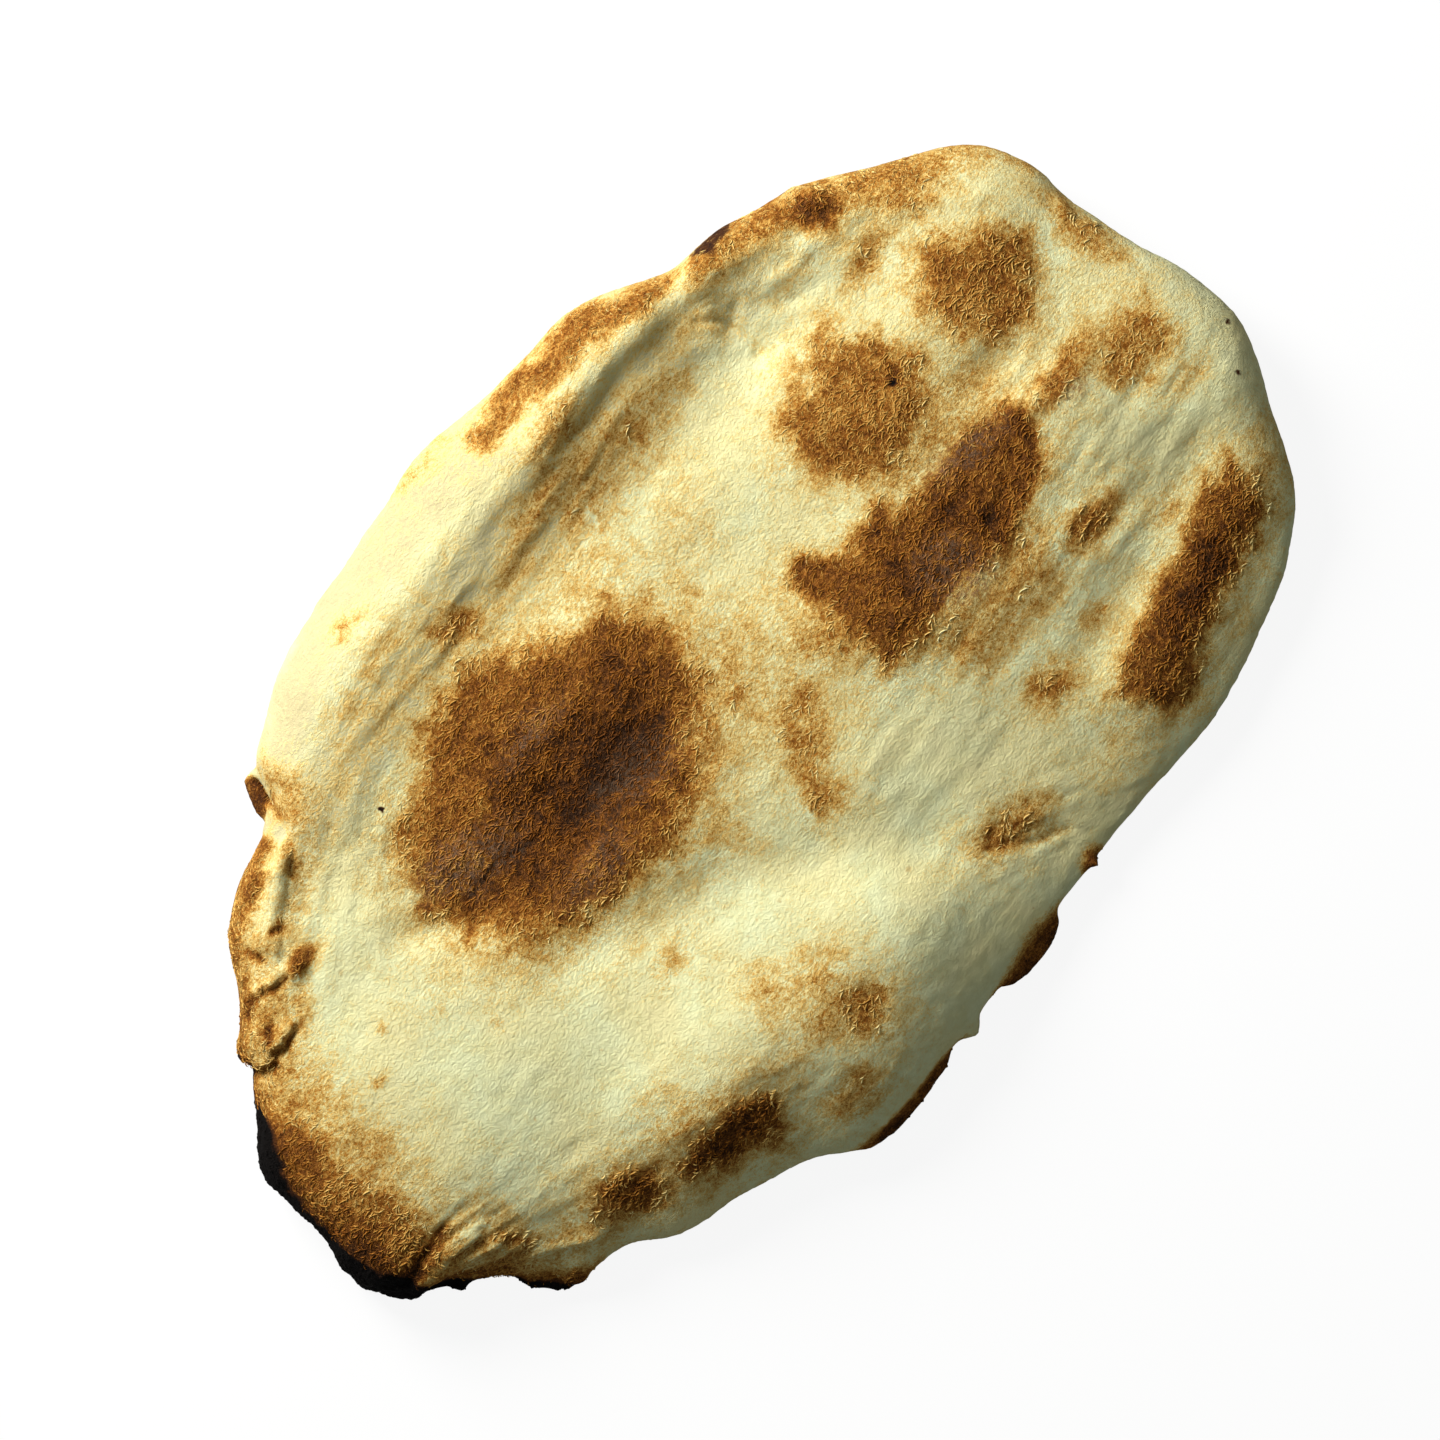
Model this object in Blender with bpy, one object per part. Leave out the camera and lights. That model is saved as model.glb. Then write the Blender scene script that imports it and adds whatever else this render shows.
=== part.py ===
# A pita bread: one oval, hand-stretched flatbread, puffed up in the oven and partly sunk again.
# Seen from above, its scorched tip points to -X and its broad round end to +X. It lies on its nearly
# flat underside at Z = 0, with the origin in the middle of that underside. All sizes are in metres.

import math

import bmesh
import bpy
import numpy as np
from mathutils import Matrix, Vector, noise

# The level that the crumb fills between blisters and hollows.
CRUMB_THICKNESS = 0.0140
BODY_TRIANGLES = 9300

# The edge of the upper crust seen from above, as a few points for each stretch, anticlockwise.
OUTLINE = {
    "round_end": [
        (0.1194, -0.0200), (0.1190, -0.0105), (0.1172, -0.0020), (0.1163, 0.0060),
        (0.1156, 0.0135), (0.1160, 0.0215), (0.1140, 0.0290),
    ],
    "far_corner": [
        (0.1095, 0.0352), (0.1020, 0.0405), (0.0935, 0.0462), (0.0872, 0.0508),
        (0.0850, 0.0522), (0.0770, 0.0550), (0.0712, 0.0576), (0.0640, 0.0589),
        (0.0585, 0.0596),
    ],
    "puffed_side": [
        (0.0520, 0.0638), (0.0450, 0.0675), (0.0390, 0.0694), (0.0310, 0.0699),
        (0.0210, 0.0705), (0.0110, 0.0723), (0.0030, 0.0731), (-0.0050, 0.0722),
        (-0.0180, 0.0709), (-0.0310, 0.0697), (-0.0450, 0.0666), (-0.0530, 0.0628),
    ],
    "torn_side": [
        (-0.0575, 0.0605), (-0.0596, 0.0575), (-0.0604, 0.0547), (-0.0640, 0.0516),
        (-0.0690, 0.0501), (-0.0760, 0.0487), (-0.0795, 0.0474), (-0.0865, 0.0428),
        (-0.0885, 0.0400), (-0.0915, 0.0364), (-0.0970, 0.0312), (-0.1010, 0.0290),
        (-0.1013, 0.0268), (-0.1008, 0.0253),
    ],
    "scorched_tip": [
        (-0.1048, 0.0217), (-0.1090, 0.0172), (-0.1148, 0.0109), (-0.1155, 0.0052),
        (-0.1163, -0.0010), (-0.1168, -0.0062), (-0.1190, -0.0116), (-0.1184, -0.0140),
        (-0.1193, -0.0160), (-0.1168, -0.0206), (-0.1152, -0.0246), (-0.1112, -0.0258),
    ],
    "pulled_corner": [
        (-0.1080, -0.0276), (-0.1050, -0.0312), (-0.1015, -0.0340), (-0.0990, -0.0376),
        (-0.0958, -0.0412), (-0.0930, -0.0448), (-0.0905, -0.0464), (-0.0845, -0.0474),
        (-0.0800, -0.0500), (-0.0760, -0.0540), (-0.0720, -0.0560),
    ],
    "tall_side": [
        (-0.0640, -0.0578), (-0.0560, -0.0608), (-0.0480, -0.0642), (-0.0420, -0.0690),
        (-0.0350, -0.0705), (-0.0200, -0.0707), (0.0000, -0.0700), (0.0200, -0.0690),
        (0.0400, -0.0686), (0.0560, -0.0690), (0.0690, -0.0676), (0.0810, -0.0641),
        (0.0920, -0.0600), (0.1010, -0.0540), (0.1060, -0.0475), (0.1105, -0.0395),
        (0.1155, -0.0320), (0.1183, -0.0262),
    ],
}

# How the edge is rounded, by direction in degrees from +X: (how far in the top starts to fall,
# height of the outermost line, how far in the underside touches the table, roundness of the fall:
# 2 is like a circle, and 1 is a straight slope).
EDGE = {
    -170: (0.010, 0.0036, 0.007, 2.0),
    -155: (0.020, 0.0038, 0.007, 1.7),
    -130: (0.022, 0.0044, 0.007, 1.8),
    -110: (0.020, 0.0054, 0.008, 2.2),
    -88: (0.021, 0.0054, 0.009, 2.0),
    -65: (0.017, 0.0036, 0.009, 1.8),
    -40: (0.013, 0.0046, 0.009, 2.0),
    -25: (0.011, 0.0070, 0.009, 2.2),
    -10: (0.009, 0.0078, 0.008, 2.2),
    45: (0.008, 0.0076, 0.008, 2.2),
    95: (0.016, 0.0112, 0.008, 1.4),
    135: (0.010, 0.0056, 0.007, 2.0),
    160: (0.009, 0.0048, 0.007, 2.0),
    180: (0.009, 0.0034, 0.006, 2.0),
}

# The underside is slightly uneven: the bread rests on three low places, and the rest of it lies
# this much higher, outside a place's own size.
RESTING_PLACES = [(-0.078, 0.000), (0.055, 0.042), (0.055, -0.044)]
RESTING_SIZE = 0.030
UNDERSIDE_LIFT = 0.0006

# The torn under-crust that sticks out below the upper one: (x, y, half length, reach).
UNDER_LIPS = {
    "near_left": (-0.0290, -0.0706, 0.0125, 0.0024),
    "near_middle": (0.0066, -0.0698, 0.0086, 0.0032),
    "near_nub": (-0.0110, -0.0704, 0.0024, 0.0022),
    "corner": (-0.0955, -0.0422, 0.0064, 0.0028),
    "pinch": (-0.1088, -0.0288, 0.0042, 0.0016),
    "torn_pocket": (-0.0618, 0.0558, 0.0052, 0.0046),
}

# Blisters and sunken places: (x, y, half length, half width, turn in degrees, height).
BLISTERS = {
    "big_blister": (-0.024, 0.017, 0.037, 0.026, 4, 0.0026),
    "collapsed_middle": (-0.030, 0.011, 0.027, 0.009, -4, -0.0022),
    "round_blister": (0.062, 0.019, 0.016, 0.014, 10, 0.0034),
    "end_blister": (0.091, 0.017, 0.013, 0.014, 0, 0.0030),
    "low_blister": (0.046, -0.007, 0.022, 0.013, 0, 0.0013),
    "bright_hollow": (0.083, 0.002, 0.008, 0.005, -20, -0.0014),
    "middle_hollow": (0.018, 0.004, 0.024, 0.020, 60, -0.0016),
    "tip_crown": (-0.084, -0.009, 0.034, 0.022, -8, 0.0024),
    "end_swell": (0.108, -0.028, 0.013, 0.018, 10, 0.0018),
    "peeled_hollow": (-0.0665, 0.0474, 0.0036, 0.0014, 25, -0.0014),
    "near_dimple": (-0.0205, -0.0520, 0.0050, 0.0042, 0, -0.0005),
}

# Ridges (height above zero) and valleys (below), each along a line of points with a half width.
RIDGES = {
    "far_rim": ([(-0.054, 0.0500), (-0.040, 0.0550), (-0.016, 0.0590), (0.004, 0.0600),
                 (0.022, 0.0585), (0.040, 0.0615), (0.058, 0.0590)], 0.0094, 0.0044),
    "far_corner_rim": ([(0.068, 0.051), (0.078, 0.048), (0.088, 0.042), (0.098, 0.034),
                        (0.104, 0.025)], 0.0064, 0.0020),
    "far_valley": ([(-0.036, 0.0380), (-0.012, 0.0410), (0.010, 0.0420), (0.026, 0.0400),
                    (0.044, 0.0405), (0.062, 0.0420)], 0.0066, -0.0012),
    "second_fold": ([(0.018, 0.0560), (0.032, 0.0575), (0.046, 0.0555)], 0.0022, 0.0012),
    "fold_groove": ([(0.024, 0.0530), (0.038, 0.0538), (0.050, 0.0520)], 0.0016, -0.0012),
    "pinch_stem": ([(0.0555, 0.058), (0.0560, 0.050), (0.0580, 0.043), (0.0570, 0.038)], 0.0022, -0.0020),
    "pinch_arm": ([(0.0575, 0.0450), (0.0620, 0.0490), (0.0680, 0.0500)], 0.0020, -0.0012),
    "long_shoulder": ([(-0.052, -0.042), (-0.026, -0.0470), (-0.008, -0.0475)], 0.0120, 0.0044),
    "left_slope": ([(-0.104, -0.044), (-0.088, -0.056), (-0.064, -0.066)], 0.0180, -0.0040),
    "near_slope": ([(0.032, -0.076), (0.060, -0.076), (0.086, -0.070)], 0.0240, -0.0070),
    "middle_crown": ([(0.012, -0.004), (0.050, -0.006), (0.092, -0.012)], 0.0150, 0.0025),
    "near_blister": ([(0.056, -0.0545), (0.074, -0.0515), (0.095, -0.0450)], 0.0060, 0.0024),
    "blister_crease": ([(0.054, -0.0440), (0.074, -0.0400), (0.096, -0.0340)], 0.0026, -0.0008),
    "end_ridge": ([(0.079, -0.0050), (0.088, -0.0085), (0.096, -0.0075)], 0.0016, 0.0009),
    "slack_line": ([(-0.048, -0.006), (-0.034, -0.013), (-0.018, -0.021), (0.000, -0.033),
                    (0.010, -0.042)], 0.0046, -0.0016),
    "pulled_crease": ([(-0.1145, -0.0232), (-0.1100, -0.0216), (-0.1040, -0.0208)], 0.0010, -0.0012),
    "pulled_fold_1": ([(-0.1120, -0.0236), (-0.1050, -0.0249), (-0.0970, -0.0260)], 0.0010, 0.0010),
    "pulled_fold_2": ([(-0.1095, -0.0252), (-0.1020, -0.0280), (-0.0955, -0.0302)], 0.0010, 0.0014),
    "pulled_fold_3": ([(-0.1030, -0.0288), (-0.0980, -0.0314), (-0.0935, -0.0330)], 0.0009, 0.0010),
    "pulled_fold_4": ([(-0.0965, -0.0350), (-0.0910, -0.0378), (-0.0840, -0.0432)], 0.0012, 0.0009),
    "torn_strip": ([(-0.0610, 0.0520), (-0.0660, 0.0452), (-0.0730, 0.0415),
                    (-0.0810, 0.0370)], 0.0013, 0.0014),
    "torn_groove": ([(-0.0620, 0.0495), (-0.0645, 0.0455), (-0.0690, 0.0408),
                     (-0.0770, 0.0370)], 0.0010, -0.0012),
    "side_crack": ([(0.0160, -0.0515), (0.0210, -0.0555), (0.0270, -0.0590)], 0.0009, -0.0008),
    "blister_edge": ([(-0.0640, 0.0190), (-0.0590, 0.0145), (-0.0540, 0.0120)], 0.0012, -0.0008),
}

# Places where the crust is drawn into fine wrinkles:
# (x, y, half length, half width, turn, wrinkle length, wrinkle width, height).
WRINKLED = {
    "right_stretch": (0.084, -0.024, 0.030, 0.014, 4, 0.016, 0.0030, 0.0008),
    "far_folds": (-0.004, 0.0525, 0.036, 0.0080, 4, 0.018, 0.0028, 0.0007),
    "left_folds": (-0.062, 0.0330, 0.022, 0.012, 30, 0.014, 0.0028, 0.0006),
    "far_corner": (0.074, 0.0440, 0.022, 0.010, -25, 0.008, 0.0034, 0.0008),
    "big_blister": (-0.024, 0.014, 0.036, 0.020, -6, 0.010, 0.0034, 0.0006),
    "middle_slack": (0.030, -0.0230, 0.020, 0.012, 8, 0.014, 0.0032, 0.0005),
    "near_side": (0.045, -0.0560, 0.046, 0.009, -28, 0.010, 0.0036, 0.0003),
    "near_left": (-0.072, -0.0430, 0.020, 0.010, -25, 0.010, 0.0030, 0.0006),
    "round_end": (0.108, 0.0060, 0.010, 0.028, 80, 0.010, 0.0030, 0.0006),
}

# Loose pieces of brown skin on the torn side: each corner with how far it stands up from the crust.
# A corner below zero is sunk in it, where the piece is still joined on.
LOOSE_SKIN = {
    "flap": [
        (-0.1010, 0.0276, 0.0008), (-0.1010, 0.0254, 0.0011), (-0.1000, 0.0236, 0.0013),
        (-0.0976, 0.0226, 0.0014), (-0.0963, 0.0235, 0.0012), (-0.0951, 0.0240, 0.0012),
        (-0.0937, 0.0228, 0.0013), (-0.0920, 0.0228, 0.0012), (-0.0897, 0.0234, 0.0006),
        (-0.0880, 0.0256, -0.0004), (-0.0900, 0.0290, -0.0005), (-0.0940, 0.0308, -0.0005),
        (-0.0984, 0.0298, -0.0003),
    ],
    "torn_ledge": [
        (-0.0943, 0.0315, 0.0002), (-0.0929, 0.0306, 0.0008), (-0.0906, 0.0313, 0.0007),
        (-0.0888, 0.0325, 0.0005), (-0.0874, 0.0310, 0.0008), (-0.0850, 0.0312, 0.0006),
        (-0.0826, 0.0305, 0.0004), (-0.0830, 0.0326, -0.0004), (-0.0860, 0.0346, -0.0005),
        (-0.0900, 0.0352, -0.0004), (-0.0930, 0.0334, -0.0003),
    ],
    "edge_scale": [
        (-0.0790, 0.0462, 0.0001), (-0.0752, 0.0448, 0.0006), (-0.0728, 0.0456, 0.0004),
        (-0.0700, 0.0464, 0.0006), (-0.0676, 0.0478, 0.0002), (-0.0700, 0.0488, -0.0004),
        (-0.0752, 0.0478, -0.0004),
    ],
}

# Lumps of crust: where they sit, the size of one lump, and how high it is above the crust there.
# A height above the table is given instead for those at the edge.
LUMPS = {
    "skin_nub": {"at": [(-0.0793, 0.0302), (-0.0815, 0.0300)],
                 "size": (0.0017, 0.0010, 0.0011), "above": 0.0002},
    "small_nub": {"at": [(-0.0772, 0.0374)],
                  "size": (0.0014, 0.0007, 0.0008), "above": 0.0002},
    "far_crag": {"at": [(0.0856, 0.0487), (0.0846, 0.0476)],
                 "size": (0.0017, 0.0009, 0.0010), "above": 0.0001},
    "end_crag": {"at": [(0.1132, 0.0132), (0.1122, 0.0116)],
                 "size": (0.0014, 0.0008, 0.0009), "above": 0.0001},
    "under_crust": {"at": [(-0.0375, -0.0702), (-0.0330, -0.0712), (-0.0265, -0.0716),
                           (-0.0210, -0.0716), (0.0048, -0.0716), (0.0095, -0.0714)],
                    "size": (0.0026, 0.0013, 0.0011), "height": 0.0026},
    "stray_crumb": {"at": [(0.0263, -0.0690), (-0.0114, -0.0712)],
                    "size": (0.0009, 0.0016, 0.0012), "height": 0.0048},
    "scorched_crust": {"at": [(-0.1185, -0.0118), (-0.1190, -0.0160), (-0.1166, -0.0205),
                              (-0.1148, -0.0243), (-0.1078, -0.0304), (-0.1150, 0.0080),
                              (-0.1008, 0.0250)],
                       "size": (0.0018, 0.0010, 0.0011), "height": 0.0036},
    "corner_crust": {"at": [(-0.0926, -0.0459), (-0.0958, -0.0432), (-0.0986, -0.0396)],
                     "size": (0.0020, 0.0012, 0.0012), "height": 0.0032},
}

# Cells of the starting box, and where its top and bottom squares end, as shares of the radius.
CELLS_LONG = 124
CELLS_WIDE = 76
TOP_SHARE = 0.80
UNDER_SHARE = 0.80
UPPER_ROWS = 14
LOWER_ROWS = 7
UNDER_ROWS = 2

UNEVEN_TOP = 0.0007
UNEVEN_EDGE = 0.0005
UNEVEN_SIZE = 0.016
SKIN_DEPTH = 0.0010
CRUST_COLOUR = (0.80, 0.70, 0.45, 1.0)
CRUST_ROUGHNESS = 0.75


def clear_scene():
    for thing in list(bpy.data.objects):
        bpy.data.objects.remove(thing)


def edge_value(direction, column):
    """One of the edge's sizes in each direction, between the named ones by a straight line."""
    angles = sorted(EDGE)
    around = [a - 360 for a in angles] + angles + [a + 360 for a in angles]
    values = [EDGE[a][column] for a in angles] * 3
    return np.interp(direction, np.radians(around), values)


def outline_radius(direction):
    """Distance from the origin to the edge, by a smooth curve through the outline's points."""
    points = np.array([p for stretch in OUTLINE.values() for p in stretch])
    angle = np.arctan2(points[:, 1], points[:, 0])
    order = np.argsort(angle)
    angle = angle[order]
    radius = np.hypot(points[:, 0], points[:, 1])[order]
    angle = np.concatenate([angle[-3:] - math.tau, angle, angle[:3] + math.tau])
    radius = np.concatenate([radius[-3:], radius, radius[:3]])
    slope = (radius[2:] - radius[:-2]) / (angle[2:] - angle[:-2])
    slope = np.concatenate([slope[:1], slope, slope[-1:]])
    left = np.clip(np.searchsorted(angle, direction) - 1, 0, len(angle) - 2)
    width = angle[left + 1] - angle[left]
    t = (direction - angle[left]) / width
    return (
        (2 * t**3 - 3 * t**2 + 1) * radius[left]
        + (t**3 - 2 * t**2 + t) * width * slope[left]
        + (3 * t**2 - 2 * t**3) * radius[left + 1]
        + (t**3 - t**2) * width * slope[left + 1]
    )


def distance_to_line(x, y, points):
    """Distance from each place to a line of points."""
    nearest = np.full(x.shape, 1.0)
    for (ax, ay), (bx, by) in zip(points, points[1:]):
        along = ((x - ax) * (bx - ax) + (y - ay) * (by - ay)) / ((bx - ax) ** 2 + (by - ay) ** 2)
        along = np.clip(along, 0, 1)
        away = np.hypot(x - ax - along * (bx - ax), y - ay - along * (by - ay))
        nearest = np.minimum(nearest, away)
    return nearest


def turned(x, y, px, py, degrees):
    """Places seen from a spot, along and across its own direction."""
    c, s = math.cos(math.radians(degrees)), math.sin(math.radians(degrees))
    return (x - px) * c + (y - py) * s, (y - py) * c - (x - px) * s


def unevenness(x, y, z, seed):
    """Smooth random numbers from about -1 to 1 at places given in sizes of one bump."""
    start = Vector((seed, 2 * seed, 3 * seed))
    return np.array([noise.noise(Vector(place) + start) for place in zip(x, y, z)])


def crown_height(x, y):
    """Height of the top crust before the edge is rounded off."""
    height = np.full(x.shape, CRUMB_THICKNESS)
    for px, py, length, width, degrees, rise in BLISTERS.values():
        along, across = turned(x, y, px, py, degrees)
        height = height + rise * np.exp(-(((along / length) ** 2 + (across / width) ** 2) ** 1.5))
    for points, width, rise in RIDGES.values():
        height = height + rise * np.exp(-0.5 * (distance_to_line(x, y, points) / width) ** 2)
    flat = np.zeros(x.shape)
    height = height + UNEVEN_TOP * unevenness(x / UNEVEN_SIZE, y / UNEVEN_SIZE, flat, 5)
    for seed, (px, py, length, width, degrees, long, wide, rise) in enumerate(WRINKLED.values()):
        along, across = turned(x, y, px, py, degrees)
        near = np.exp(-(((along / length) ** 2 + (across / width) ** 2) ** 2))
        height = height + rise * near * unevenness(along / long, across / wide, flat, 20 + seed)
    return height


def crust_height(x, y):
    """Height of the finished top crust, rounded off towards the edge."""
    direction = np.arctan2(y, x)
    inward = np.clip(outline_radius(direction) - np.hypot(x, y), 0, 1) / edge_value(direction, 0)
    roundness = edge_value(direction, 3)
    fall = (1 - (1 - np.clip(inward, 0, 1)) ** roundness) ** (1 / roundness)
    rim = edge_value(direction, 1)
    return rim + (crown_height(x, y) - rim) * fall


def underside_height(x, y):
    """Height of the underside above the table."""
    nearest = np.min([np.hypot(x - px, y - py) for px, py in RESTING_PLACES], axis=0)
    return UNDERSIDE_LIFT * (1 - np.exp(-((nearest / RESTING_SIZE) ** 2)))


def lip_reach(x, y):
    """How far the under-crust sticks out beyond the edge."""
    reach = np.zeros(x.shape)
    for px, py, half, out in UNDER_LIPS.values():
        along = np.hypot(x - px, y - py) / half
        reach = np.maximum(reach, out * np.clip(1 - along**2, 0, 1) ** 0.7)
    return reach


def gridded_box():
    """A cube from -1 to 1, cut into cells along each axis."""
    mesh = bmesh.new()
    bmesh.ops.create_cube(mesh, size=2.0)
    for axis, cells in enumerate((CELLS_LONG, CELLS_WIDE, UPPER_ROWS + LOWER_ROWS + UNDER_ROWS)):
        along = [e for e in mesh.edges if abs(e.verts[0].co[axis] - e.verts[1].co[axis]) > 1e-6]
        bmesh.ops.subdivide_edges(mesh, edges=along, cuts=cells - 1, use_grid_fill=True)
    return mesh


def side_share(row, radius, foot):
    """How far out each row of the side lies, as a share of the radius."""
    down = np.clip(row / UPPER_ROWS, 0, 1) * math.pi / 2
    inward = np.clip((row - UPPER_ROWS) / LOWER_ROWS, 0, 1) * math.pi / 2
    flat = np.clip((row - UPPER_ROWS - LOWER_ROWS) / UNDER_ROWS, 0, 1)
    heel = 1 - foot / radius
    upper = TOP_SHARE + (1 - TOP_SHARE) * np.sin(down)
    lower = 1 - (1 - np.cos(inward)) * foot / radius
    return np.where(row <= UPPER_ROWS, upper, np.where(flat > 0, heel + (UNDER_SHARE - heel) * flat, lower))


def shaped_bread():
    """The bread's body: the gridded box drawn into the outline and to the heights above."""
    mesh = gridded_box()
    box = np.array([v.co for v in mesh.verts])
    disc_x = box[:, 0] * np.sqrt(1 - box[:, 1] ** 2 / 2)
    disc_y = box[:, 1] * np.sqrt(1 - box[:, 0] ** 2 / 2)
    points = np.array([p for stretch in OUTLINE.values() for p in stretch])
    direction = np.arctan2(disc_y * np.abs(points[:, 1]).max(), disc_x * np.abs(points[:, 0]).max())
    radius = outline_radius(direction)
    rim = edge_value(direction, 1)
    foot = edge_value(direction, 2)
    row = np.round((1 - box[:, 2]) / 2 * (UPPER_ROWS + LOWER_ROWS + UNDER_ROWS))
    share = side_share(row, radius, foot)
    on_top = box[:, 2] > 1 - 1e-6
    beneath = box[:, 2] < -1 + 1e-6
    share[on_top] = (TOP_SHARE * np.hypot(disc_x, disc_y))[on_top]
    share[beneath] = (UNDER_SHARE * np.hypot(disc_x, disc_y))[beneath]
    x, y = np.cos(direction) * radius * share, np.sin(direction) * radius * share
    lower = np.clip((row - UPPER_ROWS) / LOWER_ROWS, 0, 1)
    tuck = np.sin(lower * math.pi / 2)
    side = rim * (1 - tuck) + underside_height(x, y) * tuck
    z = np.where(row <= UPPER_ROWS, crust_height(x, y), side)
    edge_x, edge_y = np.cos(direction) * radius, np.sin(direction) * radius
    lip = lip_reach(edge_x, edge_y)
    lip = (lip + 0.25 * foot * (lip > 0)) * np.sin(math.pi * lower) ** 0.6
    size = UNEVEN_SIZE / 2
    wobble = UNEVEN_EDGE * unevenness(edge_x / size, edge_y / size, rim / size, 11) * share**6
    x = x + np.cos(direction) * (lip + wobble)
    y = y + np.sin(direction) * (lip + wobble)
    for vert, place in zip(mesh.verts, zip(x, y, z)):
        vert.co = place
    return mesh


def edge_turn(direction):
    """The angle from +X at which the edge runs, where it lies in this direction."""
    near = direction + np.array([-0.01, 0.01])
    x, y = outline_radius(near) * (np.cos(near), np.sin(near))
    return math.atan2(y[1] - y[0], x[1] - x[0])


def crust_lump(name, seed, place, kind):
    """One rough lump of crust, flattened and turned to lie along the edge."""
    mesh = bmesh.new()
    bmesh.ops.create_icosphere(mesh, subdivisions=2, radius=1.0)
    for vert in mesh.verts:
        vert.co *= 1 + 0.45 * noise.noise(vert.co * 1.7 + Vector((seed, seed, 0)))
    mesh.transform(Matrix.Diagonal((*kind["size"], 1)))
    x, y = place
    if "height" in kind:
        height = kind["height"]
    else:
        height = crust_height(np.array([x]), np.array([y]))[0] + kind["above"]
    lump = object_of(name, mesh)
    lump.location = (x, y, height)
    lump.rotation_euler = (0, 0, edge_turn(math.atan2(y, x)))
    return lump


def loose_piece(name, corners):
    """A thin piece of skin that follows the crust and stands up from it by each corner's height."""
    outer = np.array(corners)
    middle = outer.mean(axis=0)
    top = [middle + (outer - middle) * share for share in (0.3, 0.6, 0.85, 1.0)]
    beneath = [ring * (1, 1, 0) - (0, 0, SKIN_DEPTH) for ring in reversed(top)]
    mesh = bmesh.new()
    loops = []
    for ring in top + beneath:
        heights = crust_height(ring[:, 0], ring[:, 1]) + ring[:, 2]
        loops.append([mesh.verts.new((p[0], p[1], h)) for p, h in zip(ring, heights)])
    for loop, after in zip(loops, loops[1:]):
        for i, j in zip(range(len(corners)), [*range(1, len(corners)), 0]):
            mesh.faces.new((loop[i], after[i], after[j], loop[j]))
    mesh.faces.new(loops[0])
    mesh.faces.new(loops[-1])
    bmesh.ops.triangulate(mesh, faces=mesh.faces)
    bmesh.ops.recalc_face_normals(mesh, faces=mesh.faces)
    return object_of(name, mesh)


def object_of(name, mesh):
    data = bpy.data.meshes.new(name)
    mesh.to_mesh(data)
    mesh.free()
    return bpy.data.objects.new(name, data)


def fuse_crust(bread):
    """Joins the lumps and the loose skin to the bread with one Boolean union: it stays one solid."""
    pieces = bpy.data.collections.new("crust_pieces")
    bpy.context.scene.collection.children.link(pieces)
    for name, corners in LOOSE_SKIN.items():
        pieces.objects.link(loose_piece(name, corners))
    for group, kind in LUMPS.items():
        for index, place in enumerate(kind["at"]):
            pieces.objects.link(crust_lump(f"{group}_{index}", 7 * index + len(group), place, kind))
    union = bread.modifiers.new("crust_pieces", "BOOLEAN")
    union.operation = "UNION"
    union.operand_type = "COLLECTION"
    union.collection = pieces
    union.solver = "MANIFOLD"
    apply_modifiers(bread)
    for piece in list(pieces.objects):
        bpy.data.objects.remove(piece)
    bpy.data.collections.remove(pieces)


def apply_modifiers(thing):
    """Makes the evaluated mesh the object's own."""
    graph = bpy.context.evaluated_depsgraph_get()
    made = bpy.data.meshes.new_from_object(thing.evaluated_get(graph))
    thing.modifiers.clear()
    thing.data = made


def thin_out(bread):
    """Keeps the triangles where the crust is rough, and few on the flat underside."""
    bread.data.calc_loop_triangles()
    fewer = bread.modifiers.new("fewer", "DECIMATE")
    fewer.ratio = BODY_TRIANGLES / len(bread.data.loop_triangles)
    apply_modifiers(bread)


def centre(bread):
    """Puts the origin in the middle of the underside."""
    corners = np.array(bread.bound_box)
    low, high = corners.min(axis=0), corners.max(axis=0)
    bread.data.transform(Matrix.Translation((*(-(low + high) / 2)[:2], -low[2])))


def baked_crust():
    material = bpy.data.materials.new("baked_crust")
    material.use_nodes = True
    shader = material.node_tree.nodes["Principled BSDF"]
    shader.inputs["Base Color"].default_value = CRUST_COLOUR
    shader.inputs["Roughness"].default_value = CRUST_ROUGHNESS
    shader.inputs["Metallic"].default_value = 0.0
    return material


def main():
    clear_scene()
    collection = bpy.data.collections.new("pita_bread")
    bpy.context.scene.collection.children.link(collection)
    bread = object_of("pita_bread", shaped_bread())
    collection.objects.link(bread)
    thin_out(bread)
    fuse_crust(bread)
    centre(bread)
    bread.data.materials.clear()
    bread.data.materials.append(baked_crust())
    bread.data.shade_smooth()


main()
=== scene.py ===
import math

import bmesh
import bpy
import numpy as np
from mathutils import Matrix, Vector, noise


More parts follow.
